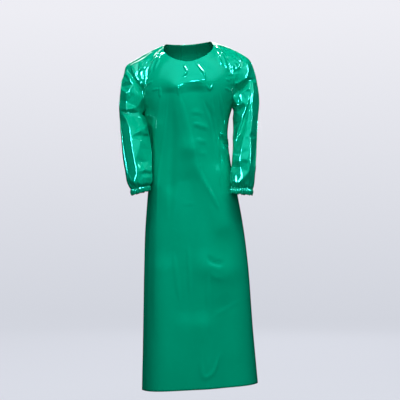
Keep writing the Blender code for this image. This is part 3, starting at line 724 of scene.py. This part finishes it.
def neck_drop(turn):
    """The neckline's drop at a turn."""
    return read(NECKLINE, np.abs(np.degrees(turn)))[0]


def seam_share(t):
    """The share of the raglan seam's height by the share of its length."""
    return 1 - (1 - t) ** 1.5


def armhole(side, around):
    """A sleeve's upper edge, by the share of the way around it: 0 on the shoulder, 0.5 at the underarm."""
    half_way = 1 - np.abs(1 - 2 * around)
    in_front = around < 0.5
    steps = half_way * (SOLID_SEAM_ROWS + 1)
    front_turn = math.pi / 2 - (math.pi / 2 - SEAM_TURN) * np.minimum(steps, 1)
    neck_turn = np.where(in_front, front_turn, math.pi - front_turn)
    share = seam_share(np.clip((steps - 1) / SOLID_SEAM_ROWS, 0, 1))
    seam_turn = np.where(in_front, raglan_turn(share), math.pi - raglan_turn(share))
    seam_drop = neck_drop(neck_turn) * (1 - share) + UNDERARM_DROP * share
    turn = side * np.where(steps < 1, neck_turn, seam_turn)
    return turn, np.where(steps < 1, neck_drop(neck_turn), seam_drop)


def seam_line(side, in_front, points=400):
    """A raglan seam as points from the neckline to the underarm."""
    around = np.linspace(1, SOLID_SEAM_ROWS + 1, points) / (2 * (SOLID_SEAM_ROWS + 1))
    return body_form(*armhole(side, around if in_front else 1 - around))


def seam_finder():
    """The raglan seams' points in a tree, and how far along its seam each of them is, in metres.

    Each seam starts at a place of its own, so that no two have the same puckers.
    """
    places, along = [], []
    for side in (-1, 1):
        for in_front in (True, False):
            line = seam_line(side, in_front)
            steps = np.linalg.norm(np.diff(line, axis=0), axis=1)
            places.extend(line)
            along.extend(np.concatenate(([0], np.cumsum(steps))) + side * 1.7 + in_front * 0.6)
    tree = KDTree(len(places))
    for number, place in enumerate(places):
        tree.insert(place, number)
    tree.balance()
    return tree, np.array(along)


SEAMS = seam_finder()


def from_seams(points):
    """Each point's distance from the nearest raglan seam, and how far along the seam it is, in metres."""
    tree, along = SEAMS
    found = [tree.find(place)[1:] for place in points.reshape(-1, 3)]
    number, distance = np.array(found).T
    return distance.reshape(points.shape[:-1]), along[number.astype(int)].reshape(points.shape[:-1])


def weld_lift(distance, along):
    """The two beads of the weld beside a raglan seam, and the puckers that it draws into the film."""
    bead = BEAD_RISE * np.exp(-(((distance - BEAD_PLACE) / BEAD_SPREAD) ** 2))
    uneven = 1 + 0.2 * np.sin(along * 2 * math.pi / 0.021 + 3 * np.sin(along * 31))
    pucker = np.sin(along * 2 * math.pi / PUCKER_RUN + 2.2 * np.sin(along * 23) + 1.3 * np.sin(along * 61))
    pucker *= PUCKER_RISE * np.exp(-distance / PUCKER_REACH) * ease(distance / PUCKER_START)
    return bead * uneven + pucker


def body_film(turn, drop):
    """A point of the body's film with everything but the fine creases."""
    points = body_form(turn, drop)
    outward = facing_out(body_form, turn, drop)
    fade = ease(from_seams(points)[0] / FOLD_FADE)
    return points + outward * (fade * fold_lift(points, outward, BODY_FOLDS))[..., None]


def sleeve_form(side, around, reach):
    """A point of a sleeve without its folds: ovals across the arm that grow out of the armhole."""

    def oval(at):
        outer_x, outer_z, inner_x, inner_z, back, depth = read(SLEEVES[side], at)
        out, forward = np.cos(2 * math.pi * around), np.sin(2 * math.pi * around)
        x = (outer_x + inner_x) / 2 + (outer_x - inner_x) / 2 * out
        z = (outer_z + inner_z) / 2 + (outer_z - inner_z) / 2 * out
        return stacked(x, back - depth * forward, z)

    edge = body_form(*armhole(side, around))
    keep = np.clip(1 - reach / SLEEVE_MORPH, 0, 1)[..., None] ** 2
    return oval(reach) + keep * (edge - oval(np.zeros_like(reach)))


def sleeve_film(side, around, reach):
    """A point of a sleeve with its largest folds, and the direction that faces out of it."""

    def form(a, r):
        return sleeve_form(side, a % 1.0, np.clip(r, 0, SLEEVES[side]["reach"][-1]))

    points = form(around, reach)
    outward = -side * facing_out(form, around, reach)
    fade = ease(reach / FOLD_FADE)
    return points + outward * (fade * fold_lift(points, outward, SLEEVE_FOLDS))[..., None], outward


def seam_facing(side, around):
    """The direction out of the film on the armhole's seam, half-way between the sleeve's and the body's."""
    _, from_sleeve = sleeve_film(side, around, np.zeros_like(around))
    from_body = facing_out(body_form, *armhole(side, around))
    middle = unit(from_sleeve + from_body)
    lean = np.sum(middle * from_body, axis=-1, keepdims=True)
    return middle / np.maximum(lean, SHARPEST_MITRE)


def grid_facing(points, ring=False):
    """The direction square to a grid of points, from their neighbours."""
    if ring:
        beside = np.roll(points, -1, axis=1) - np.roll(points, 1, axis=1)
    else:
        beside = np.gradient(points, axis=1)
    return unit(np.cross(np.gradient(points, axis=0), beside))


def add_mesh(name, points, faces, material):
    """An object of these points and faces, smooth all over."""
    mesh = bpy.data.meshes.new(name)
    mesh.from_pydata(points.reshape(-1, 3).tolist(), [], faces)
    mesh.shade_smooth()
    mesh.materials.append(material)
    made = bpy.data.objects.new(name, mesh)
    bpy.context.scene.collection.objects.link(made)
    return made


def numbered(points, ring):
    """The number of each point of a grid, with a ring's first column once more at its end."""
    index = np.arange(points.shape[0] * points.shape[1]).reshape(points.shape[:2])
    return np.hstack((index, index[:, :1])) if ring else index


def skin_of(index):
    """The four corners of each face between the points of a grid."""
    corners = (index[:-1, :-1], index[1:, :-1], index[1:, 1:], index[:-1, 1:])
    return np.stack([corner.ravel() for corner in corners], axis=1)


def add_shell(name, outer, inner, material, ring=False):
    """A closed thin shell between two grids of points. The grids' columns join up where it is a ring."""
    count = outer.shape[0] * outer.shape[1]
    index = numbered(outer, ring)
    skin = skin_of(index)
    border = [index[0], index[-1, ::-1]]
    if not ring:
        border += [index[::-1, 0], index[:, -1]]
    rims = [np.stack((edge[:-1], edge[1:], edge[1:] + count, edge[:-1] + count), axis=1) for edge in border]
    faces = np.vstack([skin, skin[:, ::-1] + count, *rims])
    points = np.vstack((outer.reshape(-1, 3), inner.reshape(-1, 3)))
    made = add_mesh(name, points, faces.tolist(), material)
    middle = count // 2
    if np.dot(np.array(made.data.vertices[middle].normal), points[middle] - points[middle + count]) < 0:
        made.data.flip_normals()
    made.data.polygons.foreach_set("use_smooth", np.arange(len(faces)) < 2 * len(skin))
    return made


def draw_back(edge, beside, *skins):
    """Moves an edge's points away from its seam by half the seam's gap."""
    shift = unit(skins[0][beside] - skins[0][edge]) * SEAM_GAP / 2
    for skin in skins:
        skin[edge] += shift


def panel_grid(top_turn, spans):
    """Turns and drops of a body panel whose top row is the neckline and whose first column is its seam."""
    seam = seam_share(np.linspace(0, 1, SOLID_SEAM_ROWS * ROWS_PER_SEAM_ROW + 1))
    skirt = np.linspace(UNDERARM_DROP, HEM_DROP, SOLID_SKIRT_ROWS * ROWS_PER_SKIRT_ROW + 1)[1:]
    side = np.concatenate((raglan_turn(seam), np.full(len(skirt), math.pi / 2)))
    side = side if top_turn < math.pi / 2 else math.pi - side
    top = float(neck_drop(top_turn))
    level = np.concatenate((top + (UNDERARM_DROP - top) * seam, skirt))
    turns = side[:, None]
    for columns, end in spans:
        across = np.linspace(0, 1, columns + 1)[1:]
        start = turns[:, -1:]
        turns = np.hstack((turns, start + (end(side, level)[:, None] - start) * across))
    scoop = neck_drop(turns[0]) - top
    dip = np.concatenate(((1 - seam) ** SCOOP_FADE, np.zeros(len(skirt))))
    return turns, level[:, None] + dip[:, None] * scoop


def creased_body(turns, drops):
    """The body's film with its creases and welds, and the directions out of its form."""
    points = body_film(turns, drops)
    outward = facing_out(body_form, turns, drops)
    distance, along = from_seams(points)
    upper = SKIRT_SHARE + (1 - SKIRT_SHARE) * ease((points[..., 2] + SKIRT_DROP) / SKIRT_BLEND)
    lift = crease_lift(points, outward, BODY_CREASES) + upper * rumple(points, BODY_RUMPLES)
    lift += swell_lift(BODY_SWELLS, 0, turns / (2 * math.pi), drops)
    lift = lift * ease(distance / CREASE_FADE) + weld_lift(distance, along)
    return points + outward * lift[..., None], outward


def body_piece(name, skin, seams, material, sink=0.0):
    """A panel of the body's film. Its seams are columns, each with the directions out of the film there."""
    outer, rough = skin
    outward = turned_to(grid_facing(outer), rough)
    for column, facing in seams.items():
        outward[: len(facing), column] = facing
    outer = outer - outward * np.broadcast_to(sink, outer.shape[:2])[..., None]
    inner = outer - outward * FILM
    for column in seams:
        draw_back(np.s_[:, column], np.s_[:, 1 if column == 0 else column - 1], outer, inner)
    return add_shell(name, outer, inner, material)


def seam_directions(side, in_front):
    """The directions out of the film on a body panel's raglan seam, from the neckline to the underarm."""
    steps = SOLID_SEAM_ROWS * ROWS_PER_SEAM_ROW
    around = (1 + np.arange(steps + 1) / ROWS_PER_SEAM_ROW) / (2 * (SOLID_SEAM_ROWS + 1))
    return seam_facing(side, around if in_front else 1 - around)


def make_front(material):
    """The front panel, from one raglan and side seam to the other."""
    turns, drops = panel_grid(SEAM_TURN, [(FRONT_COLUMNS, lambda side, level: -side)])
    seams = {0: seam_directions(1, True), FRONT_COLUMNS: seam_directions(-1, True)}
    return body_piece("front_film", creased_body(turns, drops), seams, material)


def make_backs(material):
    """The two back panels, and the grids of points that the ties lie on."""

    def past_middle(side, level):
        return math.pi + BACK_OVERLAP / read(BODY, level)[1]

    def before_middle(side, level):
        return 2 * math.pi - past_middle(side, level)

    overlap = SOLID_OVERLAP_COLUMNS * COLUMNS_PER_OVERLAP_COLUMN
    spans = [(SOLID_BACK_COLUMNS * COLUMNS_PER_BACK_COLUMN, before_middle), (overlap, past_middle)]
    turns, drops = panel_grid(math.pi - SEAM_TURN, spans)
    under = np.zeros_like(turns)
    under[:, -overlap - 1 :] = OVERLAP_DEPTH
    backs, grids = {}, {}
    for side, sink in ((1, 0.0), (-1, under)):
        skin = creased_body(side * turns, drops)
        seams = {0: seam_directions(side, False)}
        backs[side] = body_piece(f"back_{SIDES[side]}_film", skin, seams, material, sink)
        grids[side] = skin[0]
    return backs, grids


def gather_lift(around, to_end, seed):
    """Gathers round a wrist: round puffs between sharp valleys, drawn in by the elastic's upper stitching."""
    phase = 2 * math.pi * around
    wander = 0.8 * np.sin(2 * phase + seed) + 0.6 * np.sin(5 * phase + 2 * seed) + 0.3 * np.sin(9 * phase)
    puff = np.abs(np.cos(GATHERS / 2 * phase + wander)) ** 0.8
    uneven = 1 + 0.4 * np.sin(4 * phase + 3 * seed) + 0.25 * np.sin(11 * phase + seed)
    above = to_end - CUFF_HEIGHT
    drawn = STITCH_DRAW * np.exp(-((above / STITCH_SPREAD) ** 2))
    return GATHER_RISE * (puff - 0.5) * uneven * np.exp(-np.maximum(above, 0) / GATHER_REACH) - drawn


def uneven_edge(around, seed):
    """How far an edge round a wrist strays along the arm."""
    phase = 2 * math.pi * around
    wave = np.sin(3 * phase + seed) + 0.8 * np.sin(7 * phase + 2 * seed) + 0.6 * np.sin(13 * phase + 3 * seed)
    return CUFF_WANDER * wave / 2


def creased_sleeve(side, around, reach):
    """A sleeve's film with its creases, weld and gathers, and the directions out of its form."""
    end = SLEEVES[side]["reach"][-1]
    reach = reach + uneven_edge(around, side) * ease((reach / end - WANDER_START) / WANDER_BLEND)
    points, outward = sleeve_film(side, around, reach)
    distance, along = from_seams(points)
    keep = ease(distance / CREASE_FADE) * ease((end - reach - CUFF_HEIGHT) / CUFF_FADE)
    length, rise, seed = CRUMPLE
    upper = np.exp(-(((reach - CRUMPLE_PLACE) / CRUMPLE_SPREAD) ** 2))
    crumple = rise * (0.5 - np.abs(ripples(points, length, seed))) * upper
    lift = rumple(points, SLEEVE_RUMPLES) + crumple
    points = points + outward * (keep * swell_lift(SLEEVE_SWELLS, side, around, reach))[..., None]
    points = points + keep[..., None] * facet_shift(points, outward, FACETS[side])
    lift = (lift + crease_lift(points, outward, SLEEVE_CREASES)) * keep + weld_lift(distance, along)
    lift += gather_lift(around, end - reach, side + 2)
    return points + outward * lift[..., None], outward


def make_sleeve(side, material):
    """A sleeve from the neckline and raglan seams to the top of its cuff."""
    around = np.linspace(0, 1, 2 * (SOLID_SEAM_ROWS + 1) * ROWS_PER_SEAM_ROW, endpoint=False)
    reach = np.linspace(0, 1, SLEEVE_RINGS + 1)[:, None] * (SLEEVES[side]["reach"][-1] - CUFF_HEIGHT)
    around, reach = np.broadcast_arrays(around, reach)
    outer, rough = creased_sleeve(side, around, reach)
    outward = turned_to(grid_facing(outer, ring=True), rough)
    outward[0] = seam_facing(side, around[0])
    inner = outer - outward * FILM
    draw_back(0, 1, outer, inner)
    draw_back(-1, -2, outer, inner)
    return add_shell(f"sleeve_{SIDES[side]}_film", outer, inner, material, ring=True)


def make_cuff(side, material):
    """The gathered casing of the elastic."""
    around = np.linspace(0, 1, CUFF_POINTS, endpoint=False)
    around, share = np.broadcast_arrays(around, np.linspace(0, 1, CUFF_RINGS + 1)[:, None])
    end = SLEEVES[side]["reach"][-1]
    upper, lower = uneven_edge(around, side), uneven_edge(3 * around % 1, side) - CUFF_WANDER
    reach = end + (upper - CUFF_HEIGHT) * (1 - share) + lower * share
    points, outward = sleeve_film(side, around, reach)
    lift = gather_lift(around, end - reach, side + 2) + CUFF_PUFF * np.sin(math.pi * share)
    frill = np.sin(2 * math.pi * FRILL_WAVES * around + 2 * np.sin(9 * math.pi * around))
    lift += FRILL_RISE * frill * share
    outer = points + outward * lift[..., None]
    inner = outer - outward * FILM
    draw_back(0, 1, outer, inner)
    return add_shell(f"cuff_{SIDES[side]}_film", outer, inner, material, ring=True)


def fine_row(row):
    """The fine grid's row at a row of the solids."""
    seam = np.minimum(row, SOLID_SEAM_ROWS) * ROWS_PER_SEAM_ROW
    return seam + np.maximum(row - SOLID_SEAM_ROWS, 0) * ROWS_PER_SKIRT_ROW


def fine_column(column):
    """The back panels' fine column at a column of the solids."""
    outer = np.minimum(column, SOLID_BACK_COLUMNS) * COLUMNS_PER_BACK_COLUMN
    return outer + np.maximum(column - SOLID_BACK_COLUMNS, 0) * COLUMNS_PER_OVERLAP_COLUMN


def between(grid, rows, columns):
    """Points of a grid at whole and part rows and columns."""
    row = np.clip(np.floor(rows).astype(int), 0, grid.shape[0] - 2)
    column = np.clip(np.floor(columns).astype(int), 0, grid.shape[1] - 2)
    down, across = (rows - row)[..., None], (columns - column)[..., None]
    upper = grid[row, column] * (1 - across) + grid[row, column + 1] * across
    lower = grid[row + 1, column] * (1 - across) + grid[row + 1, column + 1] * across
    return upper * (1 - down) + lower * down


def strip_width(from_knot):
    """A strap's or tail's width, by its distance from the knot."""
    return STRAP_WIDTH * (GATHERED + (1 - GATHERED) * ease(from_knot / GATHERED_RUN))


def make_strip(name, grid, rows, columns, from_knot, held, material):
    """A strap or tail on a back panel, pleated where the knot gathers it."""
    rows, columns = fine_row(rows), fine_column(columns)
    outward = turned_to(unit(between(grid_facing(grid), rows, columns)), np.array((0, 1, 0)))
    base = between(grid, rows, columns) + outward * STRAP_LIFT
    across = np.linspace(-1, 1, rows.shape[1])
    pleats = 0.5 + 0.5 * np.cos(across * math.pi * 2.5 + 0.6)
    pleats = PLEAT_RISE * np.exp(-from_knot / PLEAT_REACH) * pleats
    hem = STRAP_HEM * np.exp(-(((np.abs(across) - HEM_PLACE) / HEM_SPREAD) ** 2))
    outer = base + outward * (STRAP_WALL + pleats + hem)[..., None]
    inner = base + outward * pleats[..., None]
    made = add_shell(name, outer, inner, material)
    return made


def make_tie(tie, grids, material):
    """Straps from both sides to a knot at the middle of the back, and two tails below it, by their nodes."""
    row, radius = tie["row"], tie["knot"] / 2
    column_width = 2 * BACK_OVERLAP / SOLID_OVERLAP_COLUMNS
    middle = grids[1][fine_row(row) : fine_row(row + 1) + 1, fine_column(MIDDLE_COLUMN)]
    row_height = float(np.linalg.norm(middle[-1] - middle[0]))
    across = np.linspace(-1, 1, 21)

    end = MIDDLE_COLUMN - (radius - KNOT_GRIP) / column_width
    columns = np.linspace(tie["start"], end, 120)[:, None]
    from_knot = np.maximum((end - columns) * column_width, 0)
    rows = row + strip_width(from_knot) / 2 * across / row_height
    strap = (rows, columns + 0 * across, from_knot, "stretched")

    top = row + (radius * KNOT_HEIGHT - KNOT_GRIP) / row_height
    bottom = row + ((radius + SEAM_GAP) * KNOT_HEIGHT + TAIL_GAP) / row_height + tie["tail_rows"]
    rows = np.linspace(top, bottom, 110)[:, None]
    from_knot = (rows - top) * row_height
    near = MIDDLE_COLUMN - TAIL_GAP / column_width
    columns = near - strip_width(from_knot) / column_width * (across + 1) / 2
    tail = (rows + 0 * across, columns, from_knot, "hung")

    made = {}
    for kind, strip in (("strap", strap), ("tail", tail)):
        for side, word in SIDES.items():
            node = f"{tie['name']}_{kind}_{word}"
            made[node] = make_strip(f"{node}_film", grids[side], *strip, material)
    return made


def make_knot(tie, grid, material):
    """The knot: one strap wraps aslant over the bundle of the others, and both are pleated."""
    radius = tie["knot"] / 2
    seat = grid[fine_row(tie["row"]), fine_column(MIDDLE_COLUMN)]
    turn = np.linspace(0, 2 * math.pi, 96, endpoint=False)
    rise = np.linspace(-1, 1, 49)[:, None] * (math.pi / 2 - 0.04)
    x, y, z = np.cos(rise) * np.cos(turn), np.cos(rise) * np.sin(turn), np.sin(rise)
    slant = x * 0.9 + z * 0.5
    wrap = 0.10 * ease((0.42 - np.abs(slant)) / 0.06)
    pleat = 0.05 * np.sin(9 * z + 3 * x) * (1 - wrap * 8) + 0.03 * np.sin(16 * (z - 0.4 * x))
    size = radius * (0.92 + wrap + pleat)
    points = stacked(x * size, y * size * KNOT_DEPTH, z * size * KNOT_HEIGHT)
    points = points + seat + np.array((0, STRAP_LIFT + radius * KNOT_DEPTH, 0))
    index = numbered(points, ring=True)
    faces = skin_of(index)[:, (0, 3, 2, 1)].tolist()
    faces += [index[0, :-1][::-1].tolist(), index[-1, :-1].tolist()]
    return add_mesh(f"{tie['name']}_knot_film", points, faces, material)


def linear(code):
    """A hex colour as linear values with full alpha."""
    shares = [int(code[i : i + 2], 16) / 255 for i in (1, 3, 5)]
    return (*[s / 12.92 if s <= 0.04045 else ((s + 0.055) / 1.055) ** 2.4 for s in shares], 1.0)


def set_inputs(tree, made, inputs):
    """A node with its inputs' values and links."""
    for name, value in inputs.items():
        if isinstance(value, bpy.types.NodeSocket):
            tree.links.new(value, made.inputs[name])
        else:
            made.inputs[name].default_value = value
    return made


def add_node(tree, kind, inputs, **settings):
    """A new node with its settings, its inputs' values and its links."""
    made = tree.nodes.new(kind)
    for name, value in settings.items():
        setattr(made, name, value)
    return set_inputs(tree, made, inputs)


def add_material(name):
    """A new material, its node tree and the place on the object that its patterns are read at."""
    material = bpy.data.materials.new(name)
    material.use_nodes = True
    tree = material.node_tree
    return material, tree, add_node(tree, "ShaderNodeTexCoord", {}).outputs["Object"]


def glossy_film(name, thick, thin, roughness):
    """Calendered polyurethane film: a deep even green, clouded where the film is thicker.

    Its smooth skin has a clear gloss. The film's own colour tints its reflections, and the thin bright coat
    over them makes the strongest sparkles nearly white.
    """
    material, tree, place = add_material(name)
    cloudy = add_node(tree, "ShaderNodeTexNoise", {"Vector": place, "Scale": 1000 / CLOUDING, "Detail": 3.0})
    mix = {"Factor": cloudy.outputs["Fac"], "A": linear(thick), "B": linear(thin)}
    shade = add_node(tree, "ShaderNodeMix", mix, data_type="RGBA")
    scuffs = add_node(tree, "ShaderNodeTexNoise", {"Vector": place, "Scale": 1000 / SCUFFING, "Detail": 5.0})
    spread = {"From Min": 0.35, "From Max": 0.75, "To Min": roughness - 0.02, "To Max": roughness + 0.03}
    rubbed = add_node(tree, "ShaderNodeMapRange", {"Value": scuffs.outputs["Fac"], **spread})
    ripple = add_node(tree, "ShaderNodeTexNoise", {"Vector": place, "Scale": 1000 / RIPPLING, "Detail": 2.0})
    relief = {"Height": ripple.outputs["Fac"], "Strength": 0.12, "Distance": 0.002}
    bump = add_node(tree, "ShaderNodeBump", relief).outputs["Normal"]
    finish = {
        "Base Color": shade.outputs["Result"],
        "Roughness": rubbed.outputs["Result"],
        "Normal": bump,
        "Coat Normal": bump,
        "IOR": 1.55,
        "Specular Tint": linear("#19FFEF"),
        "Coat Weight": 0.025,
        "Coat Roughness": 0.04,
    }
    set_inputs(tree, tree.nodes["Principled BSDF"], finish)
    return material


def glowing_paper():
    """Matt backdrop paper that glows with a painted wash of light, paler up high and greyer towards the
    floor.
    """
    material, tree, place = add_material("paper_with_painted_glow")
    height = add_node(tree, "ShaderNodeSeparateXYZ", {"Vector": place}).outputs["Z"]
    reach = {"Value": height, "From Min": FLOOR_HEIGHT, "From Max": WASH_TOP}
    up = add_node(tree, "ShaderNodeMapRange", reach)
    # The paper's painted glow: a wash of light painted into its emission, greyer near the floor and paler up
    # high.
    mix = {"Factor": up.outputs["Result"], "A": linear("#CFD2DB"), "B": linear("#ECECF2")}
    wash = add_node(tree, "ShaderNodeMix", mix, data_type="RGBA")
    finish = {
        "Emission Color": wash.outputs["Result"],
        "Emission Strength": 1.0,
        "Base Color": linear("#3A3A3E"),
        "Roughness": 0.95,
    }
    set_inputs(tree, tree.nodes["Principled BSDF"], finish)
    return material


def make_stage():
    """A pale round floor that curves up into a wall, wide enough for a camera on any side."""
    arc = np.linspace(0, math.pi / 2, 17)
    radii = np.concatenate(([0.01, 1.5, 3.0], WALL_RADIUS - WALL_BEND * (1 - np.sin(arc)), [WALL_RADIUS]))
    heights = np.concatenate(([FLOOR_HEIGHT] * 3, FLOOR_HEIGHT + WALL_BEND * (1 - np.cos(arc)), [WALL_TOP]))
    turn = np.linspace(0, 2 * math.pi, 96, endpoint=False)
    points = stacked(radii[:, None] * np.cos(turn), radii[:, None] * np.sin(turn), heights[:, None])
    sweep = add_mesh("paper_sweep", points, skin_of(numbered(points, ring=True)).tolist(), glowing_paper())
    sweep.visible_diffuse = False
    sweep.visible_glossy = False


def add_lamp(name, kind, place, aim, size, watts, colour):
    """A softbox that faces its aim, out of the camera's sight."""
    lamp = bpy.data.lights.new(name, "AREA")
    lamp.shape = "RECTANGLE"
    lamp.size, lamp.size_y = size
    lamp.energy = watts
    lamp.color = linear(colour)[:3]
    if kind == "bank":
        lamp.use_nodes = True
        tree = lamp.node_tree
        spot = add_node(tree, "ShaderNodeNewGeometry", {}).outputs["Parametric"]
        away = add_node(tree, "ShaderNodeVectorMath", {0: spot, 1: (0.5, 0.5, 0.0)}, operation="DISTANCE")
        edges = {"Value": away.outputs["Value"], "From Min": 0.5, "From Max": 0.2}
        glow = add_node(tree, "ShaderNodeMapRange", edges, interpolation_type="SMOOTHSTEP")
        set_inputs(tree, tree.nodes["Emission"], {"Strength": glow.outputs["Result"]})
    made = bpy.data.objects.new(name, lamp)
    made.location = place
    made.rotation_euler = (Vector(aim) - Vector(place)).to_track_quat("-Z", "Y").to_euler()
    made.visible_camera = False
    made.visible_glossy = kind != "fill"
    made.visible_diffuse = kind == "fill"
    bpy.context.scene.collection.objects.link(made)
    return made


def light_studio(groups):
    """The lamps, each on the pieces that it serves, and a faint even light that the film doesn't mirror.

    A lamp that serves one group puts its highlight there without a second one elsewhere.
    """
    for *settings, serves in LAMPS:
        lamp = add_lamp(*settings)
        if serves:
            served = bpy.data.collections.new(f"lit_by_{lamp.name}")
            for piece in (piece for group in serves.split() for piece in groups[group]):
                served.objects.link(piece)
            lamp.light_linking.receiver_collection = served
    world = bpy.data.worlds.new("studio")
    bpy.context.scene.world = world
    world.use_nodes = True
    tree = world.node_tree
    set_inputs(tree, tree.nodes["Background"], {"Color": linear("#E4EAEE"), "Strength": 0.16})
    world.cycles_visibility.glossy = False


def make_camera():
    """A level camera, shifted so that it frames the plane of the shoulders."""
    data = bpy.data.cameras.new("camera")
    data.sensor_width = SENSOR
    data.lens = SENSOR * -CAMERA_PLACE.y / FRAMED_WIDTH
    data.shift_y = (FRAMED_MIDDLE - CAMERA_PLACE.z) / FRAMED_WIDTH
    camera = bpy.data.objects.new("camera", data)
    camera.location = CAMERA_PLACE
    camera.rotation_euler = (math.pi / 2, 0, 0)
    bpy.context.scene.collection.objects.link(camera)
    bpy.context.scene.camera = camera


def dress(piece, slot, node, **cut):
    """A piece stands for its solid and moves with it. Its cut is not used."""
    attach(piece, "root")
    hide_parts(node)
    return piece


def make_gown():
    """Every piece of the gown. Returns those that the lamps serve: the body's and each sleeve's."""
    film = glossy_film("polyurethane_film", "#008C69", "#009672", 0.07)
    cuff_film = glossy_film("gathered_film", "#008360", "#008D69", 0.16)
    strap_film = glossy_film("strap_film", "#008662", "#00906B", 0.18)
    groups = {"body": [dress(make_front(film), "film", "front_panel", **CUTS["front"])]}
    backs, grids = make_backs(film)
    for side, back in backs.items():
        groups["body"].append(dress(back, "film", f"back_panel_{SIDES[side]}", **CUTS["back"]))
    for side, word in SIDES.items():
        sleeve = dress(make_sleeve(side, film), "film", f"sleeve_{word}", **CUTS["sleeve"])
        cuff = dress(make_cuff(side, cuff_film), "cuff", f"cuff_{word}", **CUTS["cuff"])
        groups[word] = [sleeve, cuff]
    for tie in TIES:
        for node, strip in make_tie(tie, grids, strap_film).items():
            dress(strip, "strap", node)
        dress(make_knot(tie, grids[1], strap_film), "strap", f"{tie['name']}_knot")
    return groups


make_stage()
make_camera()
light_studio(make_gown())
bpy.context.scene.view_settings.view_transform = "Standard"
